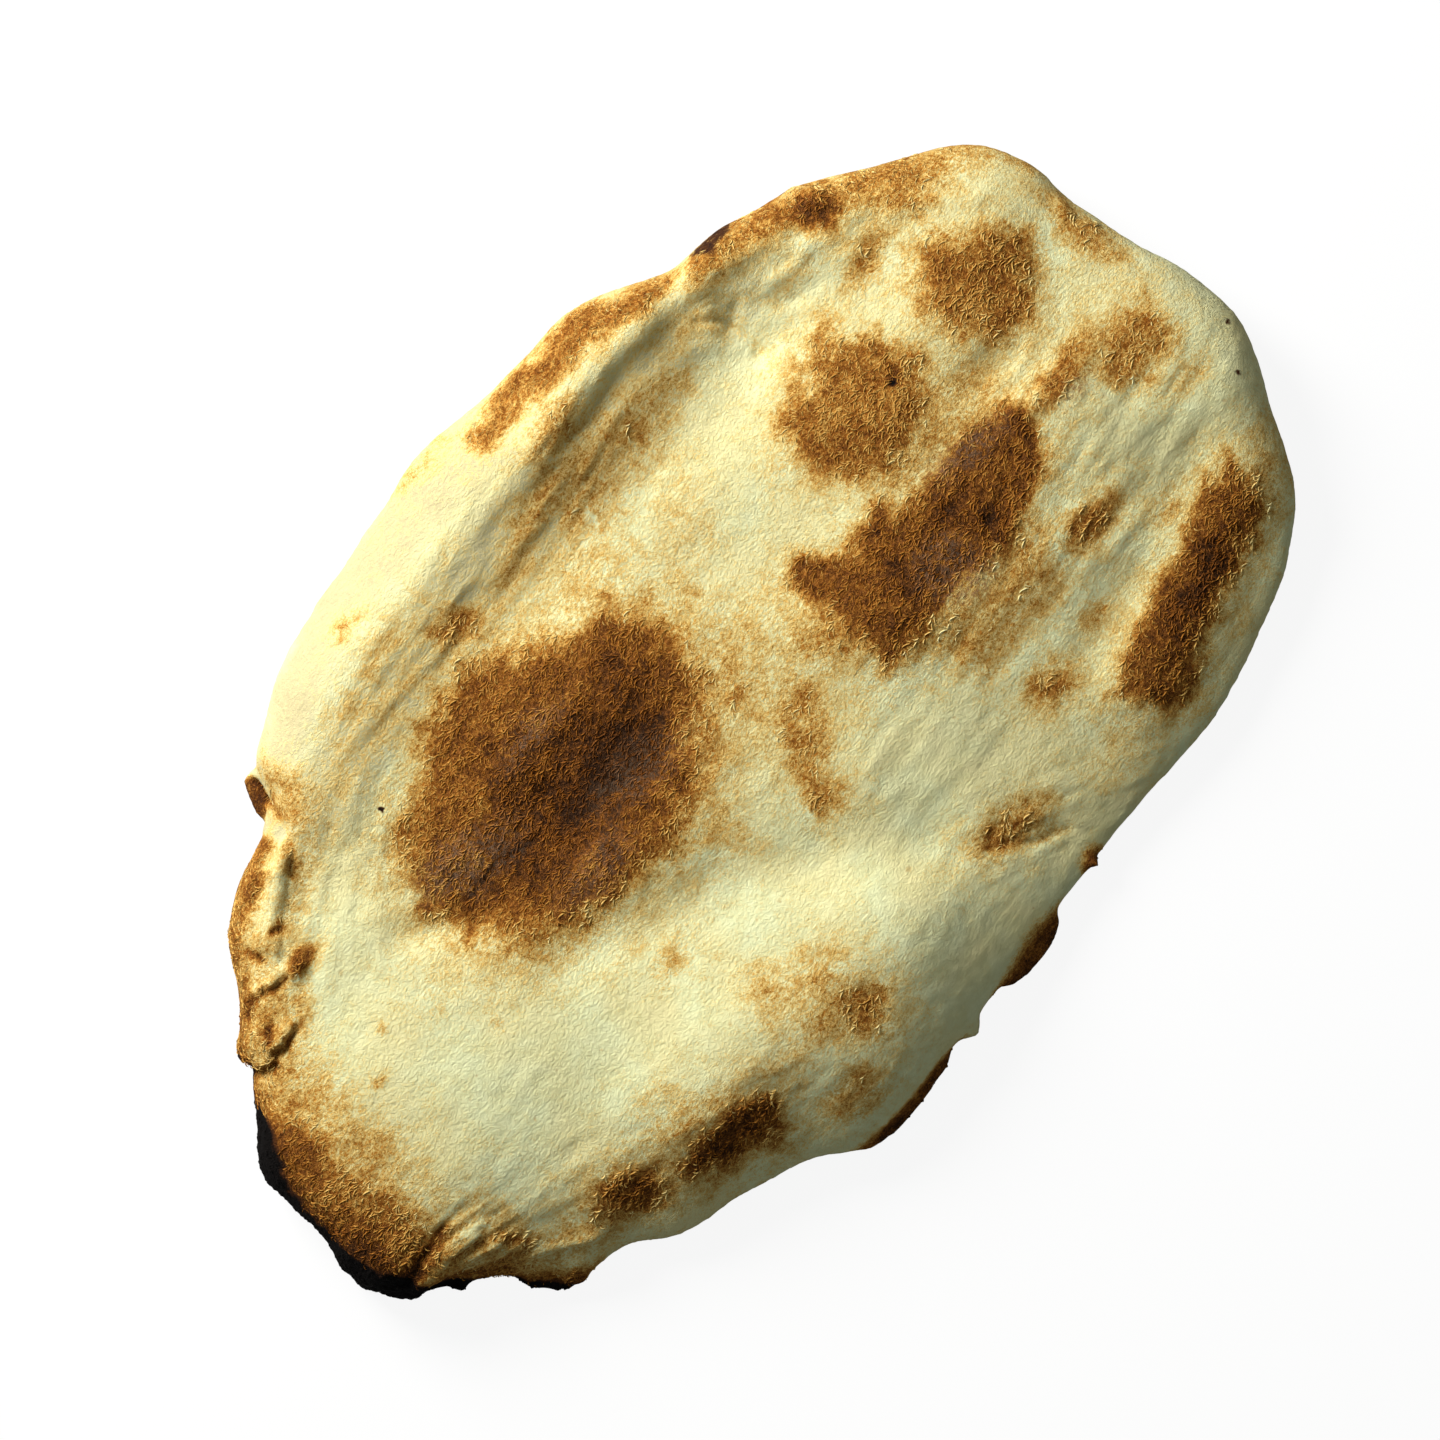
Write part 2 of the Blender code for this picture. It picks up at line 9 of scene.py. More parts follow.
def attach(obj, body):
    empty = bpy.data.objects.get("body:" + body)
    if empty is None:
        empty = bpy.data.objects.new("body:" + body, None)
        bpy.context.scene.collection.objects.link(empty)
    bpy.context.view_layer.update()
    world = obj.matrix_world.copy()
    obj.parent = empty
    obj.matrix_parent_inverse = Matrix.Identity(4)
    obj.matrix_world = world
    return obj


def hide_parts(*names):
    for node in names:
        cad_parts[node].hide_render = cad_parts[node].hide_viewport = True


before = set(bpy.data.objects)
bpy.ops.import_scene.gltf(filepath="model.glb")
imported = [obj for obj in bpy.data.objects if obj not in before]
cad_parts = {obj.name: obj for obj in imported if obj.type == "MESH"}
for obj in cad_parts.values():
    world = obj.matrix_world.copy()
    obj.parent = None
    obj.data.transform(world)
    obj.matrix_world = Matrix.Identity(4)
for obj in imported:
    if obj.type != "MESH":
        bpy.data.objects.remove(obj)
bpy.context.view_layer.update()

mm = 0.001

# The view: straight down on the bread, with a low soft window beyond its puffed side.
view = {
    "lens": 85.0,
    "sensor": 36.0,
    "height": 0.6252,  # above the floor
    "over": (0.00258, 0.00043),  # the point that the camera stands above
    "turn": -50.0,  # the bread lies slantwise in the picture
    "keyTilt": 29.0,  # degrees above the floor
    "keyAway": 0.60,
    "keyAside": 0.03,
    "keyWide": 0.30,
    "keyPower": 7.15,
    "keyColour": (1.0, 0.985, 0.95),
    "fill": 0.185,
    "fillColour": (0.93, 1.0, 0.99),
    "floorWide": 3.0,
    "floorGlow": 0.90,  # what the camera sees of the paper without the window's light
    "floorSeen": 0.11,
    "floorBounce": 0.35,
}


def addObject(name, data):
    made = bpy.data.objects.new(name, data)
    bpy.context.scene.collection.objects.link(made)
    return made


def wire(tree, value, socket):
    # a number, a name or a colour is set, and another node's output is linked
    if isinstance(value, (int, float, str)):
        socket.default_value = value
    elif isinstance(value, tuple):
        socket.default_value = (*value, 1.0)
    else:
        tree.links.new(value, socket)


def addNode(tree, kind, inputs, **settings):
    # a new node with its settings, and with its inputs by their names or numbers
    step = tree.nodes.new(kind)
    for name, value in settings.items():
        setattr(step, name, value)
    for label, value in inputs.items():
        wire(tree, value, step.inputs[label])
    return step


def setCamera():
    lens = bpy.data.cameras.new("overhead")
    lens.lens = view["lens"]
    lens.sensor_width = view["sensor"]
    camera = addObject("overhead", lens)
    camera.location = (view["over"][0], view["over"][1], view["height"])
    camera.rotation_euler = (0.0, 0.0, math.radians(view["turn"]))
    bpy.context.scene.camera = camera


def setLights():
    tilt = math.radians(view["keyTilt"])
    key = bpy.data.lights.new("window", "AREA")
    key.shape = "DISK"
    key.size = view["keyWide"]
    key.energy = view["keyPower"]
    key.color = view["keyColour"]
    lamp = addObject("window", key)
    lamp.location = (view["keyAside"], view["keyAway"] * math.cos(tilt), view["keyAway"] * math.sin(tilt))
    lamp.rotation_euler = (-lamp.location).to_track_quat("-Z", "Y").to_euler()
    world = bpy.data.worlds.new("studio")
    world.use_nodes = True
    back = world.node_tree.nodes["Background"]
    back.inputs["Color"].default_value = (*view["fillColour"], 1.0)
    back.inputs["Strength"].default_value = view["fill"]
    bpy.context.scene.world = world
    bpy.context.scene.view_settings.view_transform = "Standard"


def layFloor():
    half = view["floorWide"] / 2
    mesh = bpy.data.meshes.new("floor")
    corners = [(-half, -half, 0), (half, -half, 0), (half, half, 0), (-half, half, 0)]
    mesh.from_pydata(corners, [], [(0, 1, 2, 3)])
    floor = addObject("floor", mesh)
    paper = bpy.data.materials.new("whitePaper")
    paper.use_nodes = True
    tree = paper.node_tree
    tree.nodes.clear()
    # the camera sees paper that glows, and the bread is lit by plain matt paper
    glow = addNode(tree, "ShaderNodeEmission", {"Strength": view["floorGlow"]})
    matt = addNode(tree, "ShaderNodeBsdfDiffuse", {"Color": (view["floorSeen"],) * 3})
    both = addNode(tree, "ShaderNodeAddShader", {0: glow.outputs[0], 1: matt.outputs[0]})
    bounce = addNode(tree, "ShaderNodeBsdfDiffuse", {"Color": (view["floorBounce"],) * 3})
    seen = addNode(tree, "ShaderNodeLightPath", {})
    mix = addNode(tree, "ShaderNodeMixShader", {
        "Fac": seen.outputs["Is Camera Ray"], 1: bounce.outputs[0], 2: both.outputs[0]})
    addNode(tree, "ShaderNodeOutputMaterial", {"Surface": mix.outputs[0]})
    mesh.materials.append(paper)


setCamera()
setLights()
layFloor()
print("view: camera, window light and floor")

# Places are read in millimetres along and across the bread, from the middle of its outline.
readShift = (0.306, 0.30)


def ovalPatch(at, reach, turn, level, soft, ragged):
    # level is how strong a patch is, soft how wide its edge fades, ragged how far the edge wanders
    return {"at": at, "reach": reach, "turn": turn, "level": level, "soft": soft, "ragged": ragged}


def drawnPatch(outline, level, soft, ragged):
    return {"outline": outline, "level": level, "soft": soft, "ragged": ragged}


def crease(points, wide, high, toast):
    # high is below zero for a crack and above it for a pulled ridge; toast browns it, or pales it; under
    # the flap and ledge edges the browning is painted shadow
    return {"points": points, "wide": wide, "high": high, "toast": toast}


def folds(at, reach, turn, long, wide, high):
    # long and wide are the measures of a single wrinkle, and high is its height
    return {"at": at, "reach": reach, "turn": turn, "long": long, "wide": wide, "high": high}


# Toasted spots, from a tan tint at a level of 0.2 to nearly black at 1, and painted shade browning the far
# valley.
browningAndShade = {
    "bigBlotch": drawnPatch([
        (-58, 14.5), (-59, 20), (-56, 24.5), (-50, 30), (-41, 35), (-32, 39.5), (-23, 42), (-15, 40.5),
        (-11, 38), (-11, 34.5), (-6, 32.5), (2.5, 29), (7.5, 24), (9, 14), (5, 9), (0, 4.5), (-7.5, -1),
        (-15, -6), (-25, -8.5), (-40, -4), (-49, 0), (-53, 5), (-56, 10)], 0.66, 9.0, 2.2),
    "bigBlotchMiddle": drawnPatch([
        (-50, 12), (-48, 22), (-38, 27), (-20, 29), (-4, 28), (3, 20), (2, 12), (-4, 4), (-14, -2),
        (-27, -4), (-40, 2)], 0.8, 15.0, 3.0),
    "bigBlotchHeart": ovalPatch((-18, 9.5), (20, 8.5), -4, 1.0, 12.0, 3.0),
    "secondBlotch": drawnPatch([
        (29.3, 6.1), (33.6, 6.6), (37.4, 2.3), (43.9, 1.9), (49.9, 3.6), (50.7, -0.7), (60, -1.5),
        (67.9, -0.7), (76.4, -2), (81.1, -5.9), (78.6, -11.4), (74.3, -15.3), (67, -17.9), (61.4, -20),
        (50.7, -17.4), (37, -19.1), (27.1, -16.1), (27.6, -8.4), (29.7, -5), (29.3, 1.4)
        ], 0.72, 5.4, 1.8),
    "secondBlotchHeart": ovalPatch((45, -9), (17, 7.5), -6, 0.76, 10.5, 2.5),
    "belowSecond": drawnPatch([
        (36, -19), (52, -17), (62, -19), (68, -24), (60, -31), (48, -32), (38, -32), (36, -26)
        ], 0.33, 9.0, 2.4),
    "linkAbove": drawnPatch([(50, 0), (52, 8), (62, 9), (80, 9), (81, 0), (66, -2)], 0.3, 9.0, 2.5),
    "roundBlotch": ovalPatch((61.2, 16.6), (13.6, 12), -8, 0.61, 7.5, 2.4),
    "endBlotch": ovalPatch((92, 15), (10, 12.5), 4, 0.62, 7.5, 2.4),
    "endStreak": ovalPatch((88.5, -7), (8, 2.6), 4, 0.58, 4.5, 1.4),
    "endSpot": ovalPatch((102, -13), (6.5, 6), 0, 0.52, 7.5, 2.0),
    "faceSpot": ovalPatch((45, -42), (4.6, 3.2), 0, 0.5, 6.0, 1.4),
    "faceSpotFaint": ovalPatch((60, -40), (4, 2), 5, 0.32, 4.5, 1.0),
    "faceSpotRight": ovalPatch((83, -36.5), (3, 2.2), 0, 0.34, 4.5, 1.0),
    # painted shade: valleyShade and valleyShadeLeft brown the far valley where the rim's shade falls
    "valleyShade": ovalPatch((22, 47), (28, 5), 2, 0.36, 10.0, 3.0),
    "valleyShadeLeft": ovalPatch((-36, 50), (20, 4), 12, 0.22, 9.0, 3.0),
    "lowSpot": ovalPatch((71.7, -28.8), (5, 2.6), 4, 0.6, 5.1, 1.2),
    "longBlotch": drawnPatch([
        (52, -50.5), (52, -56), (55, -60), (61, -61.6), (70, -58), (80, -56), (90, -53.5), (95.5, -50),
        (96.5, -43), (97, -39), (93, -39.5), (84, -41), (78, -44), (70, -44.5), (66, -47), (58, -49)
        ], 0.7, 5.4, 1.8),
    "longBlotchHeart": ovalPatch((77, -50.8), (16, 4.2), 13, 0.94, 6.6, 2.0),
    "wallSpot": ovalPatch((21.5, -53.5), (6.8, 3.8), -14, 0.5, 6.3, 1.6),
    "wallSpotLeft": ovalPatch((-20, -52.5), (4.2, 5), 0, 0.58, 6.8, 1.8),
    "wallTan": drawnPatch([
        (-45, -42), (-40, -48), (-28, -55), (-18, -48), (-16, -42), (-24, -37), (-30, -34), (-32, -41),
        (-38, -44)], 0.27, 10.5, 3.0),
    "wallFaint": ovalPatch((-33.5, -62), (5, 3.6), 0, 0.36, 6.0, 1.6),
    "lowLeftSpot": drawnPatch([
        (-64, -46), (-60, -45.5), (-52, -46.5), (-46, -49), (-43, -52.5), (-46, -56.5), (-52, -56),
        (-58, -53.5), (-64, -50)], 0.8, 6.6, 1.8),
    "lowLeftTan": ovalPatch((-57, -42), (8, 5), -14, 0.3, 9.0, 2.4),
    "cornerSpot": ovalPatch((-73.3, -42.8), (5.6, 3.6), -24, 0.78, 6.8, 1.6),
    "cornerTan": ovalPatch((-80, -41), (14, 3.6), -8, 0.34, 7.5, 2.0),
    "orangeSpot": ovalPatch((-36, -22), (3.4, 2.6), 0, 0.3, 5.2, 1.6),
    "orangeLow": ovalPatch((-29, -37.5), (2.4, 3.4), 0, 0.31, 4.5, 1.2),
    "chainTop": ovalPatch((13.5, -8), (4.6, 3.6), 20, 0.44, 6.8, 2.0),
    "chainMiddle": ovalPatch((8, -16), (4.5, 4.8), 0, 0.5, 6.8, 2.0),
    "chainLow": ovalPatch((5, -23), (3.6, 3.6), 0, 0.52, 5.7, 1.6),
    "chainSpot": ovalPatch((7.8, 0.2), (2.6, 1.4), 8, 0.46, 3.0, 0.8),
    "chainFaint": ovalPatch((-12, -13), (4, 6), 0, 0.22, 7.5, 2.4),
    "tanRight": drawnPatch([
        (0, 32), (12, 28), (14, 10), (6, -2), (-4, -8), (12, -12), (22, -4), (22, 18), (14, 34)
        ], 0.17, 12.0, 4.0),
    "tanHigh": ovalPatch((5, 36), (8, 4), 0, 0.2, 7.5, 3.0),
    "tanMiddle": ovalPatch((26, 30), (9, 7), 20, 0.15, 12.0, 4.0),
    "valleySpot": ovalPatch((-15, 47.5), (4.2, 2.8), 0, 0.52, 5.4, 1.6),
    "valleySpotRight": ovalPatch((23.5, 55.5), (6.4, 4.0), 5, 0.37, 6.0, 1.8),
    "rimBrown": drawnPatch([
        (12, 67), (20, 68.5), (36, 68.5), (46, 66), (56, 61), (58, 57.5), (48, 59.5), (40, 61.5),
        (28, 62.5), (16, 62.5), (11, 64)], 0.6, 5.4, 1.6),
    "rimSpot": ovalPatch((-28, 62.3), (2.8, 1.3), 0, 0.34, 3.0, 1.0),
    "rimTint": ovalPatch((2, 71.5), (7, 2.4), 0, 0.26, 6.0, 1.6),
    "shoulderBrown": drawnPatch([
        (60, 58), (68, 60), (80, 56), (90, 50), (98, 42), (104, 38), (98, 36), (90, 40), (84, 44),
        (76, 49), (66, 51), (60, 54)], 0.5, 6.0, 1.8),
    "shoulderDark": ovalPatch((83.5, 47), (3.4, 4.6), -20, 0.78, 5.1, 1.2),
    "shoulderGold": ovalPatch((97, 40), (12, 6), -35, 0.44, 9.0, 2.4),
    "shoulderStreak": ovalPatch((83, 33.5), (6, 2.4), 16, 0.42, 4.5, 1.6),
    "shoulderFaint": ovalPatch((70, 42), (5, 3), 0, 0.18, 6.0, 2.0),
    "endEdge": ovalPatch((110.5, 31), (3, 9), 28, 0.36, 6.0, 1.6),
    "endEdgeLow": ovalPatch((112, 7), (3.6, 8), 0, 0.44, 6.0, 1.8),
    "endBump": ovalPatch((114.5, 22), (1.8, 2.4), 0, 0.4, 3.6, 1.0),
    "endUnder": ovalPatch((104, -24.5), (4, 1.8), 0, 0.28, 4.5, 1.0),
    "tipTan": drawnPatch([
        (-122, 30), (-100, 30), (-94, 16), (-93, 2), (-95, -14), (-90, -30), (-100, -42), (-124, -30)
        ], 0.28, 12.0, 3.0),
    "tipBrown": drawnPatch([
        (-122, 30), (-100, 26), (-102, 14), (-103, 0), (-102, -16), (-98, -26), (-92, -34), (-100, -46),
        (-124, -30)], 0.6, 12.0, 2.6),
    "tipDark": drawnPatch([
        (-122, 32), (-99, 29), (-104, 18), (-109, 4), (-110.5, -10), (-110, -20), (-104, -30),
        (-97, -40), (-92, -46), (-90, -50), (-124, -40)], 0.82, 6.0, 1.8),
    "tipPatch": ovalPatch((-107, 9), (3.6, 7), 14, 0.74, 6.0, 2.4),
    "tipPatchLow": ovalPatch((-108.5, -6), (3.4, 8), 0, 0.68, 6.0, 2.4),
    "pulledBrown": ovalPatch((-101, -27.5), (9, 3.6), -28, 0.22, 6.0, 1.6),
    "stripBrown": drawnPatch([
        (-104, 28), (-92, 40), (-80, 50), (-64, 54), (-66, 45.5), (-73, 43.5), (-80, 40.5), (-88, 35),
        (-95, 29.5), (-101, 25)], 0.55, 5.1, 1.6),
    "stripTan": drawnPatch([
        (-101, 25), (-92, 33), (-80, 38), (-72, 43), (-63, 50), (-62, 42), (-72, 36), (-84, 31),
        (-90, 24)], 0.28, 6.0, 2.0),
    "flapTan": drawnPatch([
        (-103, 26), (-98, 21), (-88, 22), (-83, 28), (-86, 33), (-94, 34)], 0.32, 4.5, 1.6),
    "lipBrown": drawnPatch([
        (-66, 50), (-66, 55), (-62, 60), (-59, 59), (-60, 54), (-63, 51)], 0.66, 3.0, 0.8),
    "lipTan": drawnPatch([
        (-62, 42), (-64, 50), (-60, 58), (-54, 58), (-53, 50), (-56, 43)], 0.3, 7.5, 2.0),
    "nub": ovalPatch((-79.5, 30), (3, 1.7), 0, 0.72, 1.6, 0.8),
    "smallNub": ovalPatch((-77, 37.5), (1.6, 0.9), 0, 0.55, 1.2, 0.5),
    "specks": ovalPatch((-79, 11), (1.0, 0.8), 0, 0.4, 1.2, 0.4),
    "speckLeft": ovalPatch((-86.5, 5.5), (1.4, 0.9), 0, 0.34, 1.4, 0.4),
    "speckLow": ovalPatch((-65, -4.2), (0.9, 1.2), 0, 0.32, 1.4, 0.4),
}

# Scorched places, burnt black at a level of 1.
charring = {
    "tip": drawnPatch([
        (-130, 40), (-99.5, 27), (-103.5, 23), (-106.5, 15), (-111.5, 6), (-113.6, -4), (-113.2, -12),
        (-113.4, -18), (-111.2, -22), (-111, -26), (-107, -31), (-112, -40), (-130, -34)], 1.0, 3.2, 1.5),
    "pullLow": drawnPatch([
        (-116, -24), (-109, -26), (-104, -31.5), (-99, -37), (-93.5, -46), (-92.5, -52), (-106, -44),
        (-120, -30)], 0.85, 1.6, 0.9),
    "shoulder": drawnPatch([
        (62, 58.5), (64, 61), (70, 61), (74, 56.6), (70, 55.4), (65, 55)], 0.5, 1.8, 0.7),
    "shoulderLine": drawnPatch([
        (74, 56.8), (82, 55.5), (86, 52.5), (84, 51.8), (78, 54.5)], 0.5, 1.6, 0.6),
    "lip": drawnPatch([(-66.5, 51.5), (-66, 56), (-62, 60.5), (-60.8, 58), (-62.8, 54)], 0.3, 1.4, 0.6),
    "bigSpeck": ovalPatch((-48.9, 36.4), (0.45, 0.45), 0, 1.0, 0.6, 0.1),
    "roundHole": ovalPatch((68.6, 15.1), (1.0, 0.5), 0, 0.9, 0.8, 0.2),
    "endSpeck": ovalPatch((116, -24), (0.5, 0.35), 0, 0.8, 0.8, 0.2),
    "endSpeckLow": ovalPatch((110, -31), (0.4, 0.5), 0, 0.6, 0.8, 0.2),
}

# Spots where flour stuck to the toasted crust and greys it.
floured = {
    "blotchLeft": ovalPatch((-46, 18), (9, 5), -8, 0.9, 6.0, 1.6),
    "blotchMiddle": ovalPatch((-22, 24), (8, 2.6), 0, 0.6, 4.0, 1.6),
    "blotchLow": ovalPatch((-16, 5), (9, 3.4), -6, 0.55, 5.0, 1.8),
    "blotchFoot": ovalPatch((-33, -1), (9, 4), 0, 0.5, 5.0, 1.8),
    "secondMiddle": ovalPatch((49, -14), (6, 6), 30, 0.6, 5.0, 1.6),
    "secondLow": ovalPatch((51, -19), (5, 2.4), 0, 0.9, 3.0, 1.2),
    "secondTop": ovalPatch((68, -3), (8, 3), -8, 0.7, 4.0, 1.4),
    "streak": ovalPatch((88, -11), (4, 1.6), 0, 0.9, 2.4, 0.8),
}

# Painted shade: parts of the pale crust darkened to a deeper cream, most on the far rim, which faces the
# window light and would glare, and in the far valley, where the rim's shade falls; the other places get
# only a faint touch.
paintedShadeSpots = {
    "farRim": drawnPatch([
        (-74, 46), (-60, 60), (-30, 72), (10, 76), (60, 70), (90, 52), (80, 46), (60, 58), (30, 60),
        (0, 61), (-30, 60), (-52, 53), (-62, 46)], 1.0, 8.0, 1.5),
    "farValley": ovalPatch((2, 48), (66, 8), 1, 0.85, 8.0, 2.0),
    "leftLit": ovalPatch((-86, 12), (16, 20), 0, 0.1, 12.0, 3.0),
    "roundEnd": ovalPatch((116, 2), (8, 30), 0, 0.25, 8.0, 2.0),
    "farCorner": ovalPatch((66, 36), (34, 14), -10, 0.15, 10.0, 3.0),
    "middle": ovalPatch((24, 20), (20, 16), 0, 0.12, 12.0, 4.0),
}

# Where crumbs hang from the lower edge.
crumbly = {
    "nearLeft": ovalPatch((-28, -71), (14, 5), 0, 1.0, 4.0, 1.0),
    "nearMiddle": ovalPatch((6, -72), (12, 5), 0, 1.0, 4.0, 1.0),
    "nearNub": ovalPatch((26.5, -70), (3, 4), 0, 1.0, 3.0, 1.0),
    "underPinch": ovalPatch((-98, -40), (12, 8), -35, 0.8, 5.0, 1.0),
    "tornSide": ovalPatch((-84, 40), (22, 7), 33, 0.7, 5.0, 1.0),
}

# Cracks, creases and pulled ridges, each along its points.
creases = {
    "blotchCrack": crease([
        (-57.5, 9.8), (-54.5, 10.5), (-51.5, 14), (-43.5, 14), (-35, 11.5)], 0.55, -0.28, 0.14),
    "secondCrease": crease([(56, -6.5), (59, -7.4), (62, -7)], 0.6, -0.25, 0.12),
    "secondCreaseRight": crease([(59.5, -14.4), (63, -13.4), (66.5, -12.4)], 0.5, -0.22, 0.1),
    "wallCrack": crease([(15.5, -52), (18, -53.5), (20, -55), (22, -58), (28, -61)], 0.45, -0.35, 0.16),
    "wallCrackHigh": crease([(17, -51), (19.5, -50.5), (22, -53)], 0.5, -0.25, 0.1),
    "pinchFloor": crease([(56.2, 46.6), (57.6, 45), (59, 43.4), (58.5, 40.5)], 2.0, 0.95, 0.0),
    "pinchStem": crease([(54.5, 49), (57.5, 46), (58.5, 42), (57.5, 37)], 0.6, -0.45, 0.05),
    "pinchArm": crease([(57.5, 44.5), (62, 46), (67, 44.5)], 0.7, -0.3, 0.04),
    "pinchLip": crease([(51, 46), (54.5, 43), (56, 39)], 1.2, 0.2, 0.0),
    # painted shadow: the flap's free edge has a browned line of shade painted beneath it
    "flapShade": crease([
        (-101.4, 25.6), (-100.4, 23.0), (-98.5, 21.9), (-96.6, 21.8), (-95.2, 23.0), (-93.9, 22.2),
        (-92.6, 21.8), (-91, 22.4), (-88.8, 22.6)], 0.5, -0.9, 0.25),
    "flapEdge": crease([
        (-101, 26.6), (-100.2, 24.4), (-98.4, 23.4), (-96.6, 23.4), (-95.1, 24.4), (-93.8, 23.7),
        (-92.6, 23.3), (-91, 24), (-89, 24)], 0.7, 0.35, 0.0),
    "flapHole": crease([(-94.2, 25.2), (-93.2, 25.9), (-91.9, 26.4)], 0.5, -0.6, 0.4),
    # painted shadow: a browned line of shade painted beneath the ledge edge
    "ledgeShade": crease([
        (-93.4, 30.9), (-91, 32.0), (-88.3, 31.6), (-86.4, 30.4), (-83.6, 30.2)], 0.45, -0.6, 0.3),
    "ledgeEdge": crease([(-92, 33), (-88.5, 32.8), (-86, 31.8), (-83, 31.6)], 0.6, 0.4, 0.0),
    "sideCrack": crease([(-84.7, 38.7), (-84.3, 36.8), (-84, 35.6)], 0.4, -0.5, 0.4),
    "nubCrack": crease([(-78.6, 37.2), (-77.6, 36.6)], 0.4, -0.5, 0.4),
    "tornStrip": crease([
        (-80, 37), (-76, 39.5), (-72, 42), (-68, 44.4), (-66, 46), (-63, 48.5)], 0.9, 0.3, -0.12),
    "stripFoot": crease([(-80, 34.8), (-76, 37.2), (-72, 39.8), (-67, 43.6)], 1.3, 0.55, 0.0),
    "tornGroove": crease([
        (-68.5, 41), (-66, 43.4), (-64, 46), (-62.3, 49.5), (-61.6, 52.5)], 0.6, -0.35, 0.22),
    "paleStrand": crease([
        (-66, 50.5), (-63, 52), (-61, 53.8), (-60.2, 56), (-60, 58.5)], 0.6, 0.45, -0.5),
    "pocketCrack": crease([(-61.6, 53.6), (-61.2, 55.5), (-60.8, 58)], 0.5, -0.9, 0.5),
    "peeledLine": crease([(-69.5, 45.6), (-66.5, 46.6), (-63.5, 48.2)], 0.9, -0.5, -0.25),
    "stripLump": crease([(-76, 45), (-74, 45.7), (-71.5, 47.4), (-68, 48.5)], 0.7, 0.4, 0.15),
    "pullCrease": crease([
        (-114.5, -23.2), (-110, -21.5), (-105, -20.8), (-100, -20.3)], 0.55, -0.6, 0.25),
    "pullFirst": crease([(-112, -23.6), (-106, -24.8), (-101, -25.2), (-97, -26)], 0.45, 0.42, -0.32),
    "pullFirstLow": crease([(-104, -23.6), (-100, -23.8), (-95, -25)], 0.4, 0.27, -0.25),
    "pullSecond": crease([(-109.5, -25), (-104, -27), (-100, -28.2), (-96, -30)], 0.5, 0.42, -0.3),
    "pullSecondShade": crease([(-106, -27.6), (-100, -29.8), (-95, -31.6)], 0.5, -0.12, 0.0),
    "pullThird": crease([(-103, -28.6), (-98, -31), (-94, -32.8)], 0.45, 0.36, -0.25),
    "pullFourth": crease([(-96, -35), (-91, -37.8), (-87, -40.8), (-84, -43)], 0.55, 0.3, -0.12),
    "pullHigh": crease([(-104, -20.2), (-99, -19.2), (-94, -19.6)], 0.4, 0.21, -0.15),
    "shoulderGroove": crease([(79, 50), (81.5, 47.5), (83, 44)], 0.9, -0.35, 0.1),
    "shoulderRidge": crease([(84, 51), (85.5, 48.5), (86, 45)], 1.0, 0.4, 0.0),
    "shoulderFold": crease([(66, 51), (72, 49), (78, 47.5)], 1.2, 0.5, 0.0),
    "endFold": crease([(92, 35), (98, 31), (103, 25)], 1.2, 0.4, 0.0),
    "endWrinkle": crease([(80, 0.6), (84, -0.6), (89, 0.4)], 0.9, 0.35, 0.0),
    "endStreakCrease": crease([(78, -6.5), (81, -4.6), (86, -4.2)], 0.5, -0.25, 0.15),
}

# Small dark places where steam broke through.
steamSpots = {
    "places": [(-42.8, 5.8), (-32.8, 5), (-28, -0.3), (-24, 3.3), (-6, 8), (-5, 14), (-28.5, 16.5),
               (-23.3, 25.5), (-28.5, 27.5), (-11, -2.4), (68.6, 15.1), (60, -13.4), (62.5, -15.6)],
    "wide": 0.7,
    "high": -0.25,
    "toast": 0.12,
}

# Fields of wrinkles, each drawn along its own direction.
wrinkles = {
    "wholeBread": folds((0, 0), (128, 76), 0, 8.0, 2.4, 0.07),
    "farFolds": folds((-6, 51), (46, 9), 4, 15.0, 2.4, 0.2),
    "farFoldsFine": folds((4, 50), (46, 10), 8, 7.0, 1.3, 0.14),
    "leftFolds": folds((-62, 33), (24, 12), 30, 11.0, 1.9, 0.18),
    "tornFibres": folds((-74, 40), (14, 6), 33, 7.0, 1.1, 0.32),
    "rightStretch": folds((84, -24), (32, 14), 3, 12.0, 2.2, 0.14),
    "rightStretchFine": folds((84, -22), (34, 16), 8, 6.0, 1.2, 0.1),
    "farCorner": folds((74, 44), (24, 10), -25, 6.0, 2.2, 0.26),
    "bigBlister": folds((-24, 14), (36, 22), -6, 9.0, 2.4, 0.13),
    "middleSlack": folds((30, -23), (22, 12), 8, 10.0, 2.0, 0.11),
    "nearGrain": folds((24, -56), (22, 9), -32, 6.0, 1.3, 0.14),
    "nearLeft": folds((-64, -40), (34, 10), -20, 8.0, 1.9, 0.12),
    "tipPull": folds((-104, -24), (16, 9), -18, 8.0, 0.9, 0.26),
    "roundEnd": folds((108, 6), (11, 28), 80, 8.0, 2.4, 0.14),
    "tip": folds((-106, 2), (9, 26), 75, 6.0, 2.0, 0.26),
}


def smoothStep(low, high, value):
    share = np.clip((value - low) / (high - low), 0.0, 1.0)
    return share * share * (3.0 - 2.0 * share)


